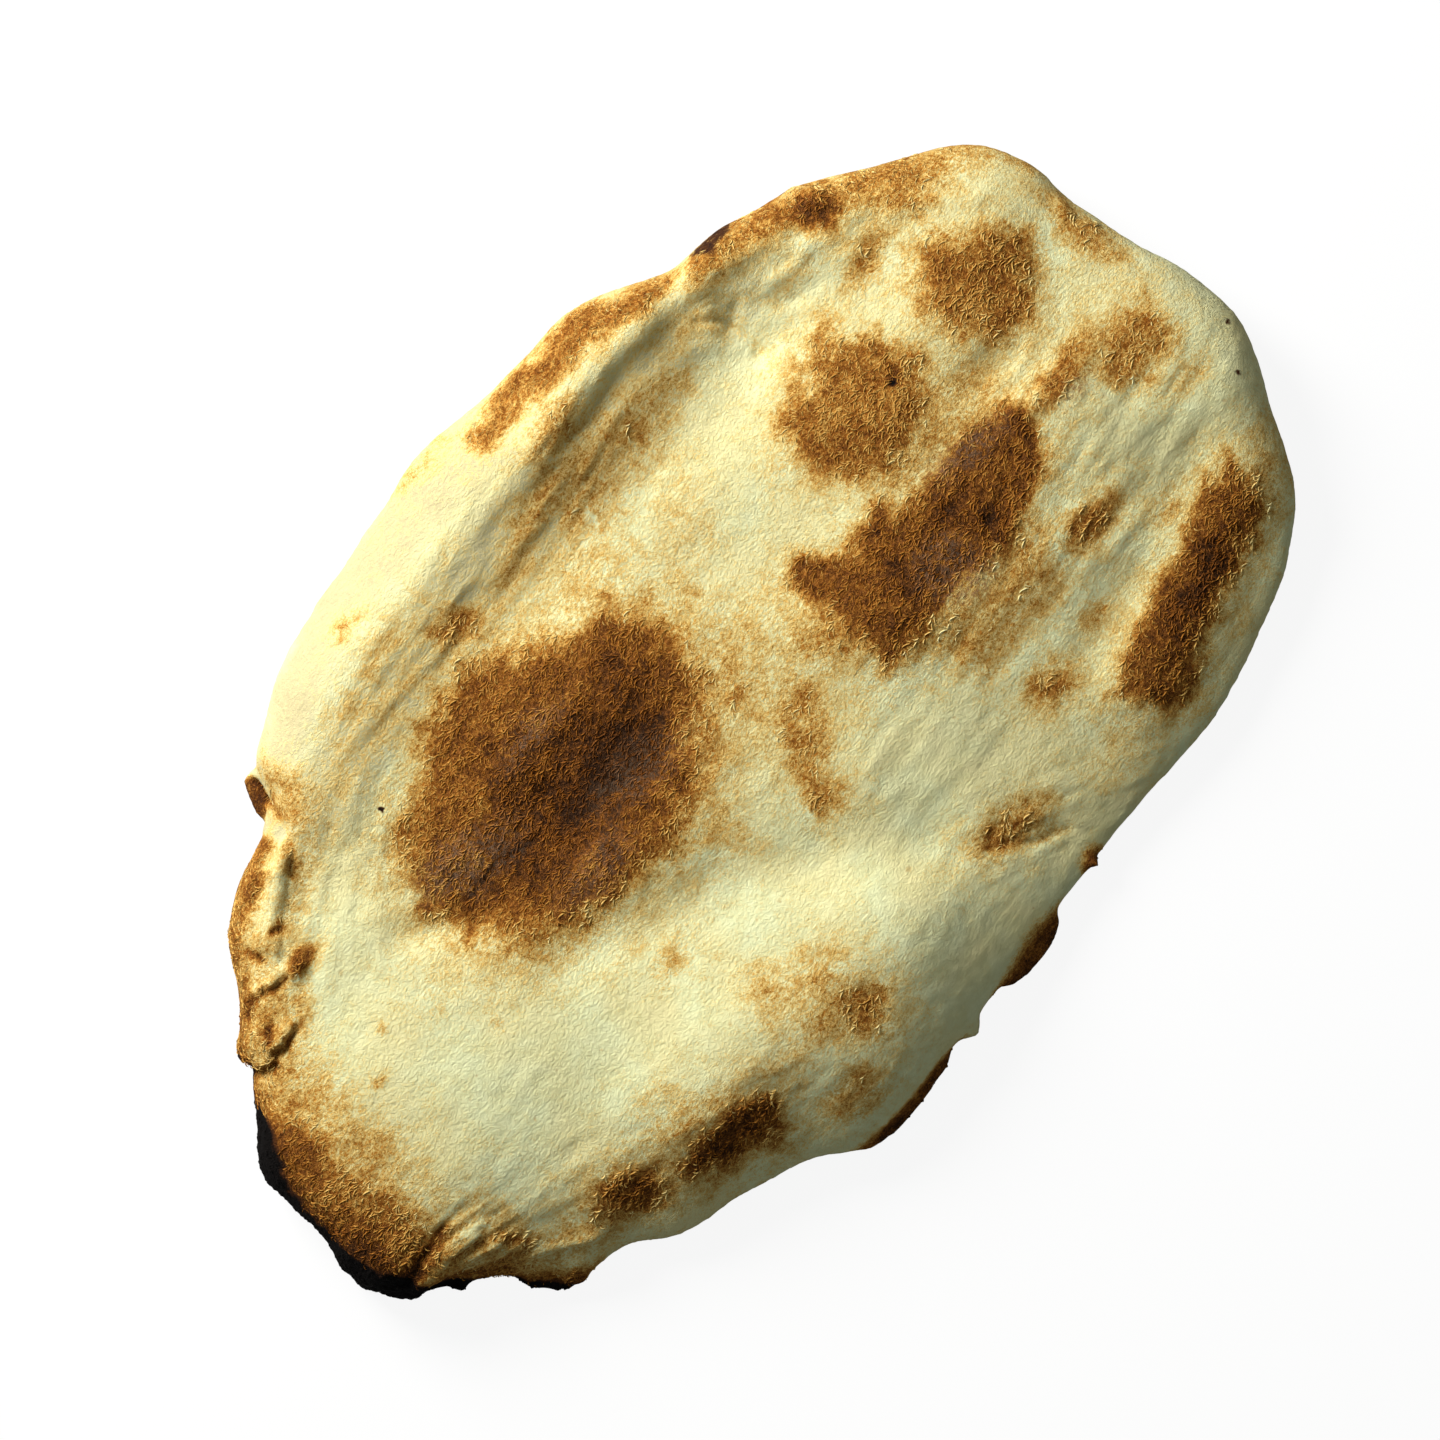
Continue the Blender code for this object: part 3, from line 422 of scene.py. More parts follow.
def softNoise(points, size, seed):
    # smooth numbers from -1 to 1; size is the spacing of the lattice, in the points' own unit
    cells = 31
    table = np.random.RandomState(seed).rand(cells, cells, cells) * 2.0 - 1.0
    place = points / size + 400.37  # keeps every place above zero and off the lattice
    corner = np.floor(place).astype(int)
    part = place - corner
    part = part * part * (3.0 - 2.0 * part)
    total = 0.0
    for i in (0, 1):
        for j in (0, 1):
            for k in (0, 1):
                weight = (np.where(i, part[:, 0], 1 - part[:, 0]) * np.where(j, part[:, 1], 1 - part[:, 1])
                          * np.where(k, part[:, 2], 1 - part[:, 2]))
                at = (corner + (i, j, k)) % cells
                total = total + weight * table[at[:, 0], at[:, 1], at[:, 2]]
    return total


def lineDistance(x, y, points):
    nearest = np.full(len(x), 1e9)
    for (ax, ay), (bx, by) in zip(points, points[1:]):
        along = ((x - ax) * (bx - ax) + (y - ay) * (by - ay)) / ((bx - ax) ** 2 + (by - ay) ** 2)
        along = np.clip(along, 0, 1)
        away = np.hypot(x - ax - along * (bx - ax), y - ay - along * (by - ay))
        nearest = np.minimum(nearest, away)
    return nearest


def insideDistance(x, y, outline):
    # distance to the outline, positive inside it
    inside = np.zeros(len(x), bool)
    for (ax, ay), (bx, by) in zip(outline, outline[1:] + outline[:1]):
        if ay != by:
            crosses = (ay > y) != (by > y)
            inside ^= crosses & (x < (bx - ax) * (y - ay) / (by - ay) + ax)
    nearest = lineDistance(x, y, outline + outline[:1])
    return np.where(inside, nearest, -nearest)


def turnedPlace(x, y, spot):
    turn = math.radians(spot["turn"])
    dx, dy = x - spot["at"][0], y - spot["at"][1]
    return dx * math.cos(turn) + dy * math.sin(turn), -dx * math.sin(turn) + dy * math.cos(turn)


def wandering(points, seed):
    # sideways shifts that make a spot's edge ragged, in shares of its own raggedness
    return [softNoise(points, 9.0, seed + axis) + 0.7 * softNoise(points, 4.0, seed + axis + 2)
            + 0.55 * softNoise(points, 1.9, seed + axis + 4) for axis in (0, 1)]


def spotMask(x, y, spot, halo=0.0):
    # how far each place is inside a spot, from 0 to 1 over its soft edge and a wide faint halo
    if "outline" in spot:
        depth = insideDistance(x, y, spot["outline"])
    else:
        along, across = turnedPlace(x, y, spot)
        depth = (1.0 - np.hypot(along / spot["reach"][0], across / spot["reach"][1])) * min(spot["reach"])
    inner = smoothStep(-0.5, 0.5, depth / spot["soft"])
    return inner * (1.0 - halo) + halo * smoothStep(-1.5, 0.2, depth / (1.2 * spot["soft"] + 1.0))


def nearby(x, y, corners, spare):
    corners = np.array(corners)
    return np.nonzero((x > corners[:, 0].min() - spare) & (x < corners[:, 0].max() + spare)
                      & (y > corners[:, 1].min() - spare) & (y < corners[:, 1].max() + spare))[0]


def layered(points, spots, seed, halo=0.0):
    # the spots laid over each other: the darkest wins, and soft edges that meet add up a little
    shiftX, shiftY = wandering(points, seed)
    most = np.zeros(len(points))
    total = np.zeros(len(points))
    for spot in spots.values():
        spare = 2.5 * spot["soft"] + 2 + 3 * spot["ragged"] + max(spot.get("reach", (0, 0)))
        x = points[:, 0] - readShift[0] + spot["ragged"] * shiftX
        y = points[:, 1] - readShift[1] + spot["ragged"] * shiftY
        near = nearby(x, y, spot.get("outline", [spot.get("at")]), spare)
        amount = np.zeros(len(points))
        amount[near] = spot["level"] * spotMask(x[near], y[near], spot, halo)
        most = np.maximum(most, amount)
        total = 1.0 - (1.0 - total) * (1.0 - amount)
    return 0.8 * most + 0.2 * total


def creased(points):
    # height in millimetres and added toasting of all cracks, creases, ridges and steam spots; under the
    # flap and ledge edges the toasting is painted shadow
    x, y = points[:, 0] - readShift[0], points[:, 1] - readShift[1]
    wander = 0.35 * softNoise(points, size=1.6, seed=301)
    height, toasted = np.zeros(len(points)), np.zeros(len(points))
    marks = [(mark["points"], mark) for mark in creases.values()]
    marks += [([place, (place[0] + 0.6, place[1] + 0.2)], steamSpots) for place in steamSpots["places"]]
    for line, mark in marks:
        near = nearby(x, y, line, 5 * mark["wide"])
        away = lineDistance(x[near] + wander[near], y[near] - wander[near], line)
        height[near] += mark["high"] * np.exp(-0.5 * (away / mark["wide"]) ** 2)
        toasted[near] += mark["toast"] * np.exp(-0.5 * (away / mark["wide"] / 1.3) ** 2)
    return height, toasted


def wrinkled(points):
    # height in millimetres of the drawn wrinkles: broad folds with sharper crests
    x, y = points[:, 0] - readShift[0], points[:, 1] - readShift[1]
    height = np.zeros(len(points))
    for seed, field in enumerate(wrinkles.values()):
        along, across = turnedPlace(x, y, field)
        inside = np.hypot(along / field["reach"][0], across / field["reach"][1])
        near = np.nonzero(inside < 1.25)[0]
        place = np.stack([along[near] / field["long"], across[near] / field["wide"],
                          points[near, 2] / (2 * field["wide"])], axis=1)
        bend = 0.5 * softNoise(place * (1, 0.3, 1), 1.0, 500 + seed)
        place[:, 1] += bend
        crest = 0.5 - 1.6 * np.abs(softNoise(place, 0.62, 560 + seed))
        fold = softNoise(place, 1.0, 530 + seed) + 0.5 * crest
        height[near] += field["high"] * fold * smoothStep(1.25, 0.7, inside[near])
    return height


def mathNode(tree, operation, first, second=None, clamp=False):
    inputs = {0: first} if second is None else {0: first, 1: second}
    return addNode(tree, "ShaderNodeMath", inputs, operation=operation, use_clamp=clamp).outputs[0]


def plus(tree, first, second, clamp=False):
    return mathNode(tree, "ADD", first, second, clamp)


def times(tree, first, second):
    return mathNode(tree, "MULTIPLY", first, second)


def fromMiddle(tree, value, stretch):
    return times(tree, mathNode(tree, "SUBTRACT", value, 0.5), stretch)


def mixColour(tree, amount, first, second):
    step = addNode(tree, "ShaderNodeMix", {}, data_type="RGBA")
    share = [socket for socket in step.inputs if socket.type == "VALUE"][0]
    ends = [socket for socket in step.inputs if socket.type == "RGBA"]
    for socket, value in zip((share, *ends), (amount, first, second)):
        wire(tree, value, socket)
    return [socket for socket in step.outputs if socket.type == "RGBA"][0]


def rangeNode(tree, value, low, high, newLow=0.0, newHigh=1.0, smooth=False):
    ends = {"Value": value, "From Min": low, "From Max": high, "To Min": newLow, "To Max": newHigh}
    kind = "SMOOTHSTEP" if smooth else "LINEAR"
    return addNode(tree, "ShaderNodeMapRange", ends, clamp=True, interpolation_type=kind).outputs["Result"]


def noiseNode(tree, vector, size, detail, rough, distortion, seed):
    # noise with features of about size millimetres; the vector is in metres
    scale = 1.0 / (size * mm) if isinstance(size, float) else mathNode(tree, "DIVIDE", 1.0 / mm, size)
    values = {"Vector": vector, "W": seed, "Scale": scale, "Detail": detail, "Roughness": rough,
              "Distortion": distortion}
    return addNode(tree, "ShaderNodeTexNoise", values, noise_dimensions="4D").outputs["Fac"]


def newTree(name, kind, inputs, outputs):
    # a node tree with named sockets, each given as its name, its type and maybe its usual value
    tree = bpy.data.node_groups.new(name, kind)
    for side, sockets in (("INPUT", inputs), ("OUTPUT", outputs)):
        for label, socketType, *usual in sockets:
            socket = tree.interface.new_socket(label, in_out=side, socket_type="NodeSocket" + socketType)
            if usual:
                socket.default_value = usual[0]
    return tree, tree.nodes.new("NodeGroupInput").outputs, tree.nodes.new("NodeGroupOutput").inputs


def placeGroup(tree, group, **values):
    return addNode(tree, "ShaderNodeGroup", values, node_tree=group)


def ridgeLines(tree, vector, size, wide, distortion, seed):
    # thin bent lines where a noise passes its middle value
    noisy = noiseNode(tree, vector, size, 2.0, 0.55, distortion, seed)
    away = mathNode(tree, "ABSOLUTE", mathNode(tree, "SUBTRACT", noisy, 0.5))
    return rangeNode(tree, away, 0.0, wide, 1.0, 0.0, smooth=True)


def crustFeltGroup():
    # the felt of fine bent fibres on a floured crust, with grain and soft mottling
    tree, given, out = newTree(
        "crustFelt", "ShaderNodeTree", [("Place", "Vector"), ("Stretch", "Float", 1.5)],
        [(label, "Float") for label in ("Fibres", "Grain", "Mottle", "Patches", "Specks")])
    place, stretch = given["Place"], given["Stretch"]
    squeeze = addNode(tree, "ShaderNodeCombineXYZ", {"X": 1.0, "Y": stretch, "Z": stretch})
    lie = addNode(tree, "ShaderNodeVectorMath", {0: place, 1: squeeze.outputs[0]}, operation="MULTIPLY")
    long = lie.outputs[0]
    broad = times(tree, ridgeLines(tree, long, 2.0, 0.050, 1.4, 3.1), 0.9)
    fine = times(tree, ridgeLines(tree, long, 1.1, 0.060, 1.2, 8.4), 0.85)
    finest = times(tree, ridgeLines(tree, place, 0.8, 0.070, 0.8, 2.9), 0.6)
    fibres = mathNode(tree, "MAXIMUM", mathNode(tree, "MAXIMUM", broad, fine), finest)
    wire(tree, fibres, out["Fibres"])
    wire(tree, noiseNode(tree, long, 1.0, 4.0, 0.75, 0.4, 5.5), out["Grain"])
    wire(tree, noiseNode(tree, place, 4.2, 4.0, 0.65, 0.6, 1.7), out["Mottle"])
    wire(tree, noiseNode(tree, place, 17.0, 2.0, 0.5, 0.3, 9.2), out["Patches"])
    wire(tree, rangeNode(tree, noiseNode(tree, place, 1.7, 1.0, 0.5, 0.2, 6.6), 0.70, 0.80),
         out["Specks"])
    return tree


# The crust's colour by how toasted it is.
toastColours = [
    (0.00, (0.820, 0.775, 0.400)),
    (0.14, (0.810, 0.635, 0.250)),
    (0.30, (0.700, 0.420, 0.105)),
    (0.46, (0.480, 0.200, 0.029)),
    (0.60, (0.292, 0.094, 0.009)),
    (0.76, (0.138, 0.041, 0.004)),
    (0.90, (0.054, 0.017, 0.002)),
    (1.00, (0.027, 0.009, 0.003)),
]
pinkishDust = (0.480, 0.285, 0.165)
flourGrey = (0.350, 0.240, 0.155)
burntBorder = (0.085, 0.030, 0.010)
charBlack = (0.0075, 0.0060, 0.0055)


def toastingGroup():
    # turns an amount of toasting into a crust colour; fibres stay lighter than the hollows between
    tree, given, out = newTree(
        "toasting", "ShaderNodeTree",
        [("Toast", "Float", 0.0), ("Fibres", "Float", 0.0), ("Grain", "Float", 0.5),
         ("Mottle", "Float", 0.5), ("Contrast", "Float", 1.0)],
        [("Colour", "Color"), ("Toasted", "Float")])
    # the texture shifts pale crust little and half-toasted crust most
    room = rangeNode(tree, given["Toast"], 0.0, 0.30, 0.30, 1.0)
    mottled = fromMiddle(tree, given["Mottle"], 0.80)
    grained = fromMiddle(tree, given["Grain"], 0.80)
    lighter = plus(tree, times(tree, given["Fibres"], -0.26), 0.08)
    shift = plus(tree, plus(tree, mottled, grained), lighter)
    shift = times(tree, times(tree, shift, room), given["Contrast"])
    amount = plus(tree, given["Toast"], shift, clamp=True)
    ramp = addNode(tree, "ShaderNodeValToRGB", {"Fac": amount})
    ramp.color_ramp.interpolation = "LINEAR"
    stops = ramp.color_ramp.elements
    while len(stops) < len(toastColours):
        stops.new(0.5)
    for stop, (place, colour) in zip(stops, toastColours):
        stop.position = place
        stop.color = (*colour, 1.0)
    # the tops of the fibres catch a little dust
    dusty = times(tree, given["Fibres"], rangeNode(tree, amount, 0.32, 0.62, 0.0, 0.10))
    wire(tree, mixColour(tree, dusty, ramp.outputs["Color"], pinkishDust), out["Colour"])
    wire(tree, amount, out["Toasted"])
    return tree


def flourDustGroup():
    # greys a colour where flour stuck to it
    tree, given, out = newTree(
        "flourDust", "ShaderNodeTree",
        [("Colour", "Color"), ("Flour", "Float", 0.0), ("Grain", "Float", 0.5)], [("Colour", "Color")])
    patchy = rangeNode(tree, given["Grain"], 0.44, 0.58)
    amount = times(tree, times(tree, given["Flour"], patchy), 0.55)
    wire(tree, mixColour(tree, amount, given["Colour"], flourGrey), out["Colour"])
    return tree


def scorchingGroup():
    # burns a colour to black, with a ragged reddish border
    tree, given, out = newTree(
        "scorching", "ShaderNodeTree",
        [("Colour", "Color"), ("Burn", "Float", 0.0), ("Grain", "Float", 0.5), ("Mottle", "Float", 0.5)],
        [("Colour", "Color")])
    shift = plus(tree, fromMiddle(tree, given["Grain"], 0.9),
                 fromMiddle(tree, given["Mottle"], 0.6))
    edge = rangeNode(tree, given["Burn"], 0.02, 0.3)
    burn = plus(tree, given["Burn"], times(tree, shift, edge), clamp=True)
    border = mixColour(tree, rangeNode(tree, burn, 0.08, 0.45, smooth=True), given["Colour"],
                       burntBorder)
    black = mixColour(tree, rangeNode(tree, burn, 0.35, 0.75, smooth=True), border, charBlack)
    wire(tree, black, out["Colour"])
    return tree


crustFelt = crustFeltGroup()
toasting = toastingGroup()
flourDust = flourDustGroup()
scorching = scorchingGroup()

crustFinish = {
    "rough": 0.75,
    "shine": 0.05,
    "bump": 0.00055,
    "greenish": (0.800, 0.815, 0.480),
    "creamy": (0.830, 0.760, 0.395),
    # the colour of the painted shade, a darker cream for the lit far rim and the shaded far valley
    "paintedShade": (0.535, 0.460, 0.255),
    "deeper": (0.715, 0.690, 0.345),
    "speck": (0.560, 0.400, 0.150),
    "lift": 0.0,  # how much paler than the crust under it a finish is
    "contrast": 1.0,
}

fibreFinish = {**crustFinish, "bump": 0.00020, "lift": 0.22, "contrast": 0.5}


def crustMaterial(title, finish):
    # pale matt crust that toasts and burns by the amounts stored on the mesh
    material = bpy.data.materials.new(title)
    material.use_nodes = True
    tree = material.node_tree
    shader = tree.nodes["Principled BSDF"]

    def stored(name):
        step = addNode(tree, "ShaderNodeAttribute", {}, attribute_type="GEOMETRY", attribute_name=name)
        return step.outputs["Fac"]

    place = addNode(tree, "ShaderNodeTexCoord", {}).outputs["Object"]
    felt = placeGroup(tree, crustFelt, Place=place, Stretch=1.5)
    fibres, grain, mottle, patches, specks = (
        felt.outputs[label] for label in ("Fibres", "Grain", "Mottle", "Patches", "Specks"))
    toast = mathNode(tree, "SUBTRACT", stored("toast"), finish["lift"], clamp=True)
    toasted = placeGroup(tree, toasting, Toast=toast, Fibres=fibres, Grain=grain, Mottle=mottle,
                         Contrast=finish["contrast"])
    tint = mixColour(tree, rangeNode(tree, patches, 0.38, 0.62, smooth=True), finish["greenish"],
                     finish["creamy"])
    tint = mixColour(tree, rangeNode(tree, mottle, 0.42, 0.62, 0.0, 0.55), tint, finish["deeper"])
    tint = mixColour(tree, times(tree, specks, 0.7), tint, finish["speck"])
    # painted shade: darker cream on the far rim and in the far valley
    tint = mixColour(tree, stored("paintedShade"), tint, finish["paintedShade"])
    browned = rangeNode(tree, toasted.outputs["Toasted"], 0.0, 0.16)
    tint = mixColour(tree, browned, tint, toasted.outputs["Colour"])
    dusted = placeGroup(tree, flourDust, Colour=tint, Flour=stored("flour"), Grain=grain)
    burnt = placeGroup(tree, scorching, Colour=dusted.outputs["Colour"], Burn=stored("burn"),
                       Grain=grain, Mottle=mottle)
    raised = times(tree, fibres, plus(tree, times(tree, toasted.outputs["Toasted"], 0.8), 0.08))
    bump = addNode(tree, "ShaderNodeBump", {
        "Height": plus(tree, raised, times(tree, grain, 0.8)), "Strength": 1.0, "Distance": finish["bump"]})
    surface = {"Base Color": burnt.outputs["Colour"], "Roughness": finish["rough"],
               "Specular IOR Level": finish["shine"], "Normal": bump.outputs["Normal"]}
    for name, value in surface.items():
        wire(tree, value, shader.inputs[name])
    return material


bakedCrust = crustMaterial("bakedCrust", crustFinish)
feltedCrust = crustMaterial("feltedCrust", fibreFinish)
print("materials: crust felt, toasting, flour and scorching")

crust = {
    "voxel": 0.70,  # mm
    "smoothRounds": 14,
    "crispRounds": 5,  # on the torn side, where edges stay sharp
    "crisp": {"at": (-84, 36), "reach": (30, 18), "turn": 30, "soft": 12.0},
    "mostTriangles": 186000,
    "weld": 1e-6,  # m, joins the solid's loose triangles
    "flatFacing": -0.93,  # the flat underside faces down at least this much
    "flatHeight": 1.6,  # mm, and lies lower than this
    "underToast": (0.34, 0.30, 0.16),  # the underside's least baking, and its broad and fine spots
    "seed": 11,
    "halo": 0.26,  # how far a toasted spot tints the crust around it
    "fringe": 0.80,  # toasting of the under-crust where it sticks out
    "Ripple size": 6.0,
    "Ripple height": 0.26,
    "Wrinkle size": 2.6,
    "Wrinkle height": 0.36,
    "Felt size": 1.3,
    "Felt height": 0.11,
    "Char size": 2.2,
    "Char height": 0.60,
}


def meshOf(obj):
    # the evaluated mesh of an object, as plain data with its modifiers gone
    bpy.context.view_layer.update()
    graph = bpy.context.evaluated_depsgraph_get()
    made = obj.evaluated_get(graph)
    mesh = bpy.data.meshes.new_from_object(made, preserve_all_data_layers=True, depsgraph=graph)
    obj.modifiers.clear()
    obj.data = mesh
    mesh.calc_loop_triangles()
    return mesh


def perPoint(mesh, name):
    values = np.empty(len(mesh.vertices) * 3)
    mesh.vertices.foreach_get(name, values)
    return values.reshape(-1, 3)


def store(mesh, name, values):
    attribute = mesh.attributes.new(name, "FLOAT", "POINT")
    attribute.data.foreach_set("value", np.ascontiguousarray(values, dtype=np.float32))


def relax(places, edges, rounds, amount=0.5):
    # each point moves by this share towards the middle of its neighbours
    count = np.bincount(edges.ravel(), minlength=len(places))[:, None]
    for _ in range(rounds):
        total = np.zeros_like(places)
        for axis in range(3):
            for here, there in ((0, 1), (1, 0)):
                total[:, axis] += np.bincount(edges[:, here], places[edges[:, there], axis], len(places))
        places = places + amount * (total / np.maximum(count, 1) - places)
    return places


def crustShell():
    # the solid's own surface in small even faces, its facets smoothed away
    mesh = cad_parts["pita_bread"].data.copy()
    mesh.name = "crust"
    joined = bmesh.new()
    joined.from_mesh(mesh)
    bmesh.ops.remove_doubles(joined, verts=joined.verts, dist=crust["weld"])
    joined.to_mesh(mesh)
    joined.free()
    mesh.materials.clear()
    shell = addObject("crust", mesh)
    remesh = shell.modifiers.new("even", "REMESH")
    remesh.mode = "VOXEL"
    remesh.voxel_size = crust["voxel"] * mm
    mesh = meshOf(shell)
    places = perPoint(mesh, "co")
    edges = np.empty(len(mesh.edges) * 2, int)
    mesh.edges.foreach_get("vertices", edges)
    edges = edges.reshape(-1, 2)
    crisp = relax(places, edges, crust["crispRounds"])
    smooth = relax(crisp, edges, crust["smoothRounds"] - crust["crispRounds"])
    share = spotMask(places[:, 0] / mm, places[:, 1] / mm, crust["crisp"])[:, None]
    places = crisp * share + smooth * (1 - share)
    mesh.vertices.foreach_set("co", places.ravel())
    mesh.update()
    # only the flat underside is thinned
    under = shell.vertex_groups.new(name="under")
    facingDown = perPoint(mesh, "normal")[:, 2] < crust["flatFacing"]
    flat = np.nonzero(facingDown & (places[:, 2] < crust["flatHeight"] * mm))[0]
    under.add([int(i) for i in flat], 1.0, "REPLACE")
    before = len(mesh.loop_triangles)
    thin = shell.modifiers.new("thin", "DECIMATE")
    thin.ratio = min(1.0, crust["mostTriangles"] / before)
    thin.vertex_group = "under"
    thin.vertex_group_factor = 1000.0
    mesh = meshOf(shell)
    shell.vertex_groups.clear()
    print("crust shell:", before, "triangles thinned underneath to", len(mesh.loop_triangles))
    return shell


def newReliefTree(name, inputs):
    return newTree(name, "GeometryNodeTree", [("Geometry", "Geometry"), *inputs, ("Material", "Material")],
                   [("Geometry", "Geometry")])


def storedValue(tree, name):
    step = addNode(tree, "GeometryNodeInputNamedAttribute", {"Name": name}, data_type="FLOAT")
    return step.outputs["Attribute"]


def moved(tree, geometry, direction, amount):
    # every point goes along the direction by the amount
    push = addNode(tree, "ShaderNodeVectorMath", {0: direction, "Scale": amount}, operation="SCALE")
    inputs = {"Geometry": geometry, "Offset": push.outputs[0]}
    return addNode(tree, "GeometryNodeSetPosition", inputs).outputs[0]


def endTree(tree, geometry, given, out):
    realize = addNode(tree, "GeometryNodeRealizeInstances", {"Geometry": geometry})
    finish = addNode(tree, "GeometryNodeSetMaterial", {
        "Geometry": realize.outputs[0], "Material": given["Material"]})
    wire(tree, finish.outputs[0], out["Geometry"])


def crustReliefTree():
    # raises the drawn creases, ripples, wrinkles, felt and char along the surface's normal
    labels = [label for label in crust if label[0].isupper()]
    tree, given, out = newReliefTree("crustRelief", [(label, "Float") for label in (*labels, "Seed")])
    place = addNode(tree, "GeometryNodeInputPosition", {}).outputs[0]
    normal = addNode(tree, "GeometryNodeInputNormal", {}).outputs[0]

    def aroundZero(name, detail, rough, distortion, seedStep):
        seed = plus(tree, given["Seed"], seedStep)
        noisy = noiseNode(tree, place, given[name + " size"], detail, rough, distortion, seed)
        return mathNode(tree, "SUBTRACT", noisy, 0.5)

    ripple = times(tree, aroundZero("Ripple", 2.0, 0.5, 0.4, 0.0), given["Ripple height"])
    wrinkle = times(tree, aroundZero("Wrinkle", 2.0, 0.55, 0.9, 2.0), given["Wrinkle height"])
    felt = times(tree, mathNode(tree, "ABSOLUTE", aroundZero("Felt", 2.0, 0.6, 0.8, 5.0)), -2.0)
    felt = times(tree, felt, given["Felt height"])
    felt = times(tree, felt, plus(tree, storedValue(tree, "toast"), 0.6))
    char = times(tree, aroundZero("Char", 3.0, 0.65, 1.2, 9.0), given["Char height"])
    char = times(tree, char, storedValue(tree, "burn"))
    total = plus(tree, plus(tree, ripple, wrinkle), plus(tree, felt, char))
    total = plus(tree, total, storedValue(tree, "drawn"))
    total = times(tree, times(tree, total, mm), storedValue(tree, "hold"))
    raised = moved(tree, given["Geometry"], normal, total)
    smooth = addNode(tree, "GeometryNodeSetShadeSmooth", {"Geometry": raised})
    endTree(tree, smooth.outputs[0], given, out)
    return tree


def setInputs(modifier, tree, values):
    for item in tree.interface.items_tree:
        if item.item_type == "SOCKET" and item.in_out == "INPUT" and item.name in values:
            modifier[item.identifier] = values[item.name]


def dressCrust():
    shell = crustShell()
    places, normals = perPoint(shell.data, "co") / mm, perPoint(shell.data, "normal")
    height, facing = places[:, 2], normals[:, 2]
    upward = smoothStep(-0.3, 0.2, facing)
    under = smoothStep(-0.35, -0.8, facing)
    drawn, marked = creased(places)
    # toast also carries the painted shade of the far valley and the painted shadow under the flap and ledge
    # edges
    toast = layered(places, browningAndShade, seed=100, halo=crust["halo"]) + marked * upward
    # on the far wall the charring stays at the rim
    burn = layered(places, charring, seed=900)
    burn = burn * np.where(places[:, 0] < 0, 1.0, smoothStep(-0.05, 0.30, facing))
    least, broad, fine = crust["underToast"]
    baked = least + broad * smoothStep(-0.1, 0.5, softNoise(places, size=16.0, seed=61))
    baked = baked + fine * softNoise(places, size=5.0, seed=62)
    toast = toast * (1 - under) + under * np.maximum(baked, 0.7 * toast)
    fuzzy = toast * (1 - 1.5 * np.clip(burn, 0, 0.66)) * smoothStep(0.1, 0.4, facing)
    near = layered(places, crumbly, seed=950)
    low = smoothStep(8.0, 4.0, height) * smoothStep(0.5, 0.1, np.abs(facing))
    fringe = crust["fringe"] * near * smoothStep(8.5, 4.5, height) * (1 - under)
    toast = np.maximum(toast, fringe + 0.1 * softNoise(places, size=2.0, seed=71) * fringe)
    amounts = {
        "burn": np.clip(burn, 0, 1),
        "flour": layered(places, floured, seed=700) * upward,
        # painted shade on the far rim and in the far valley
        "paintedShade": layered(places, paintedShadeSpots, seed=800) * upward,
        "drawn": (drawn + wrinkled(places)) * upward,
        "felted": fuzzy,
        "crumbly": low * near,
        "toast": np.clip(toast, 0, 1),
        "hold": 1.0 - under * smoothStep(crust["flatHeight"], 0.6, height),  # keeps the foot flat
    }
    for name, values in amounts.items():
        store(shell.data, name, values)
    relief = shell.modifiers.new("crustRelief", "NODES")
    relief.node_group = crustReliefTree()
    heights = {label: value for label, value in crust.items() if label[0].isupper()}
    setInputs(relief, relief.node_group, {**heights, "Seed": float(crust["seed"]), "Material": bakedCrust})
    meshOf(shell)
    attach(shell, "root")
    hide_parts("pita_bread")
    print("crust: relief raised on", len(shell.data.vertices), "points")
    return shell


shell = dressCrust()

# Loose fibres of the felt on the toasted spots, in tufts of a few bent slivers.
fibres = {
    "seed": 21,
    "perSquare": 0.80,  # tufts on each square millimetre of fully toasted crust
    "slivers": [  # where each lies, its turn, its length and its bend
        (0.0, 0.0, 10, 1.0, 0.16), (0.35, 0.42, -35, 0.7, -0.20), (-0.4, -0.38, 60, 0.55, 0.22)],
    "thick": 0.050,  # as a share of a sliver's length, as is its arch
    "arch": 0.060,
    "size": (1.1, 2.6),  # mm
    "heading": 4.0,  # degrees, and each is turned up to the spread to either side
    "spread": 42.0,
    "sink": 0.05,  # mm
    "range": (0.34, 0.62),  # the toasting at which they start, and at which they are densest
}

# Burnt flakes on the scorched tip.
flakes = {
    "seed": 35,
    "perSquare": 0.9,
    "size": (0.5, 1.5),
    "heading": 80.0,
    "spread": 90.0,
    "sink": 0.15,
    "range": (0.55, 0.9),
}

# Crumbs along the torn and the near lower edge.
crumbs = {
    "seed": 48,
    "perSquare": 0.30,
    "size": (0.35, 0.95),
    "heading": 0.0,
    "spread": 90.0,
    "sink": 0.10,
    "range": (0.2, 0.9),
}


def bitFrom(made, name):
    mesh = bpy.data.meshes.new(name)
    made.to_mesh(mesh)
    made.free()
    return addObject(name, mesh)


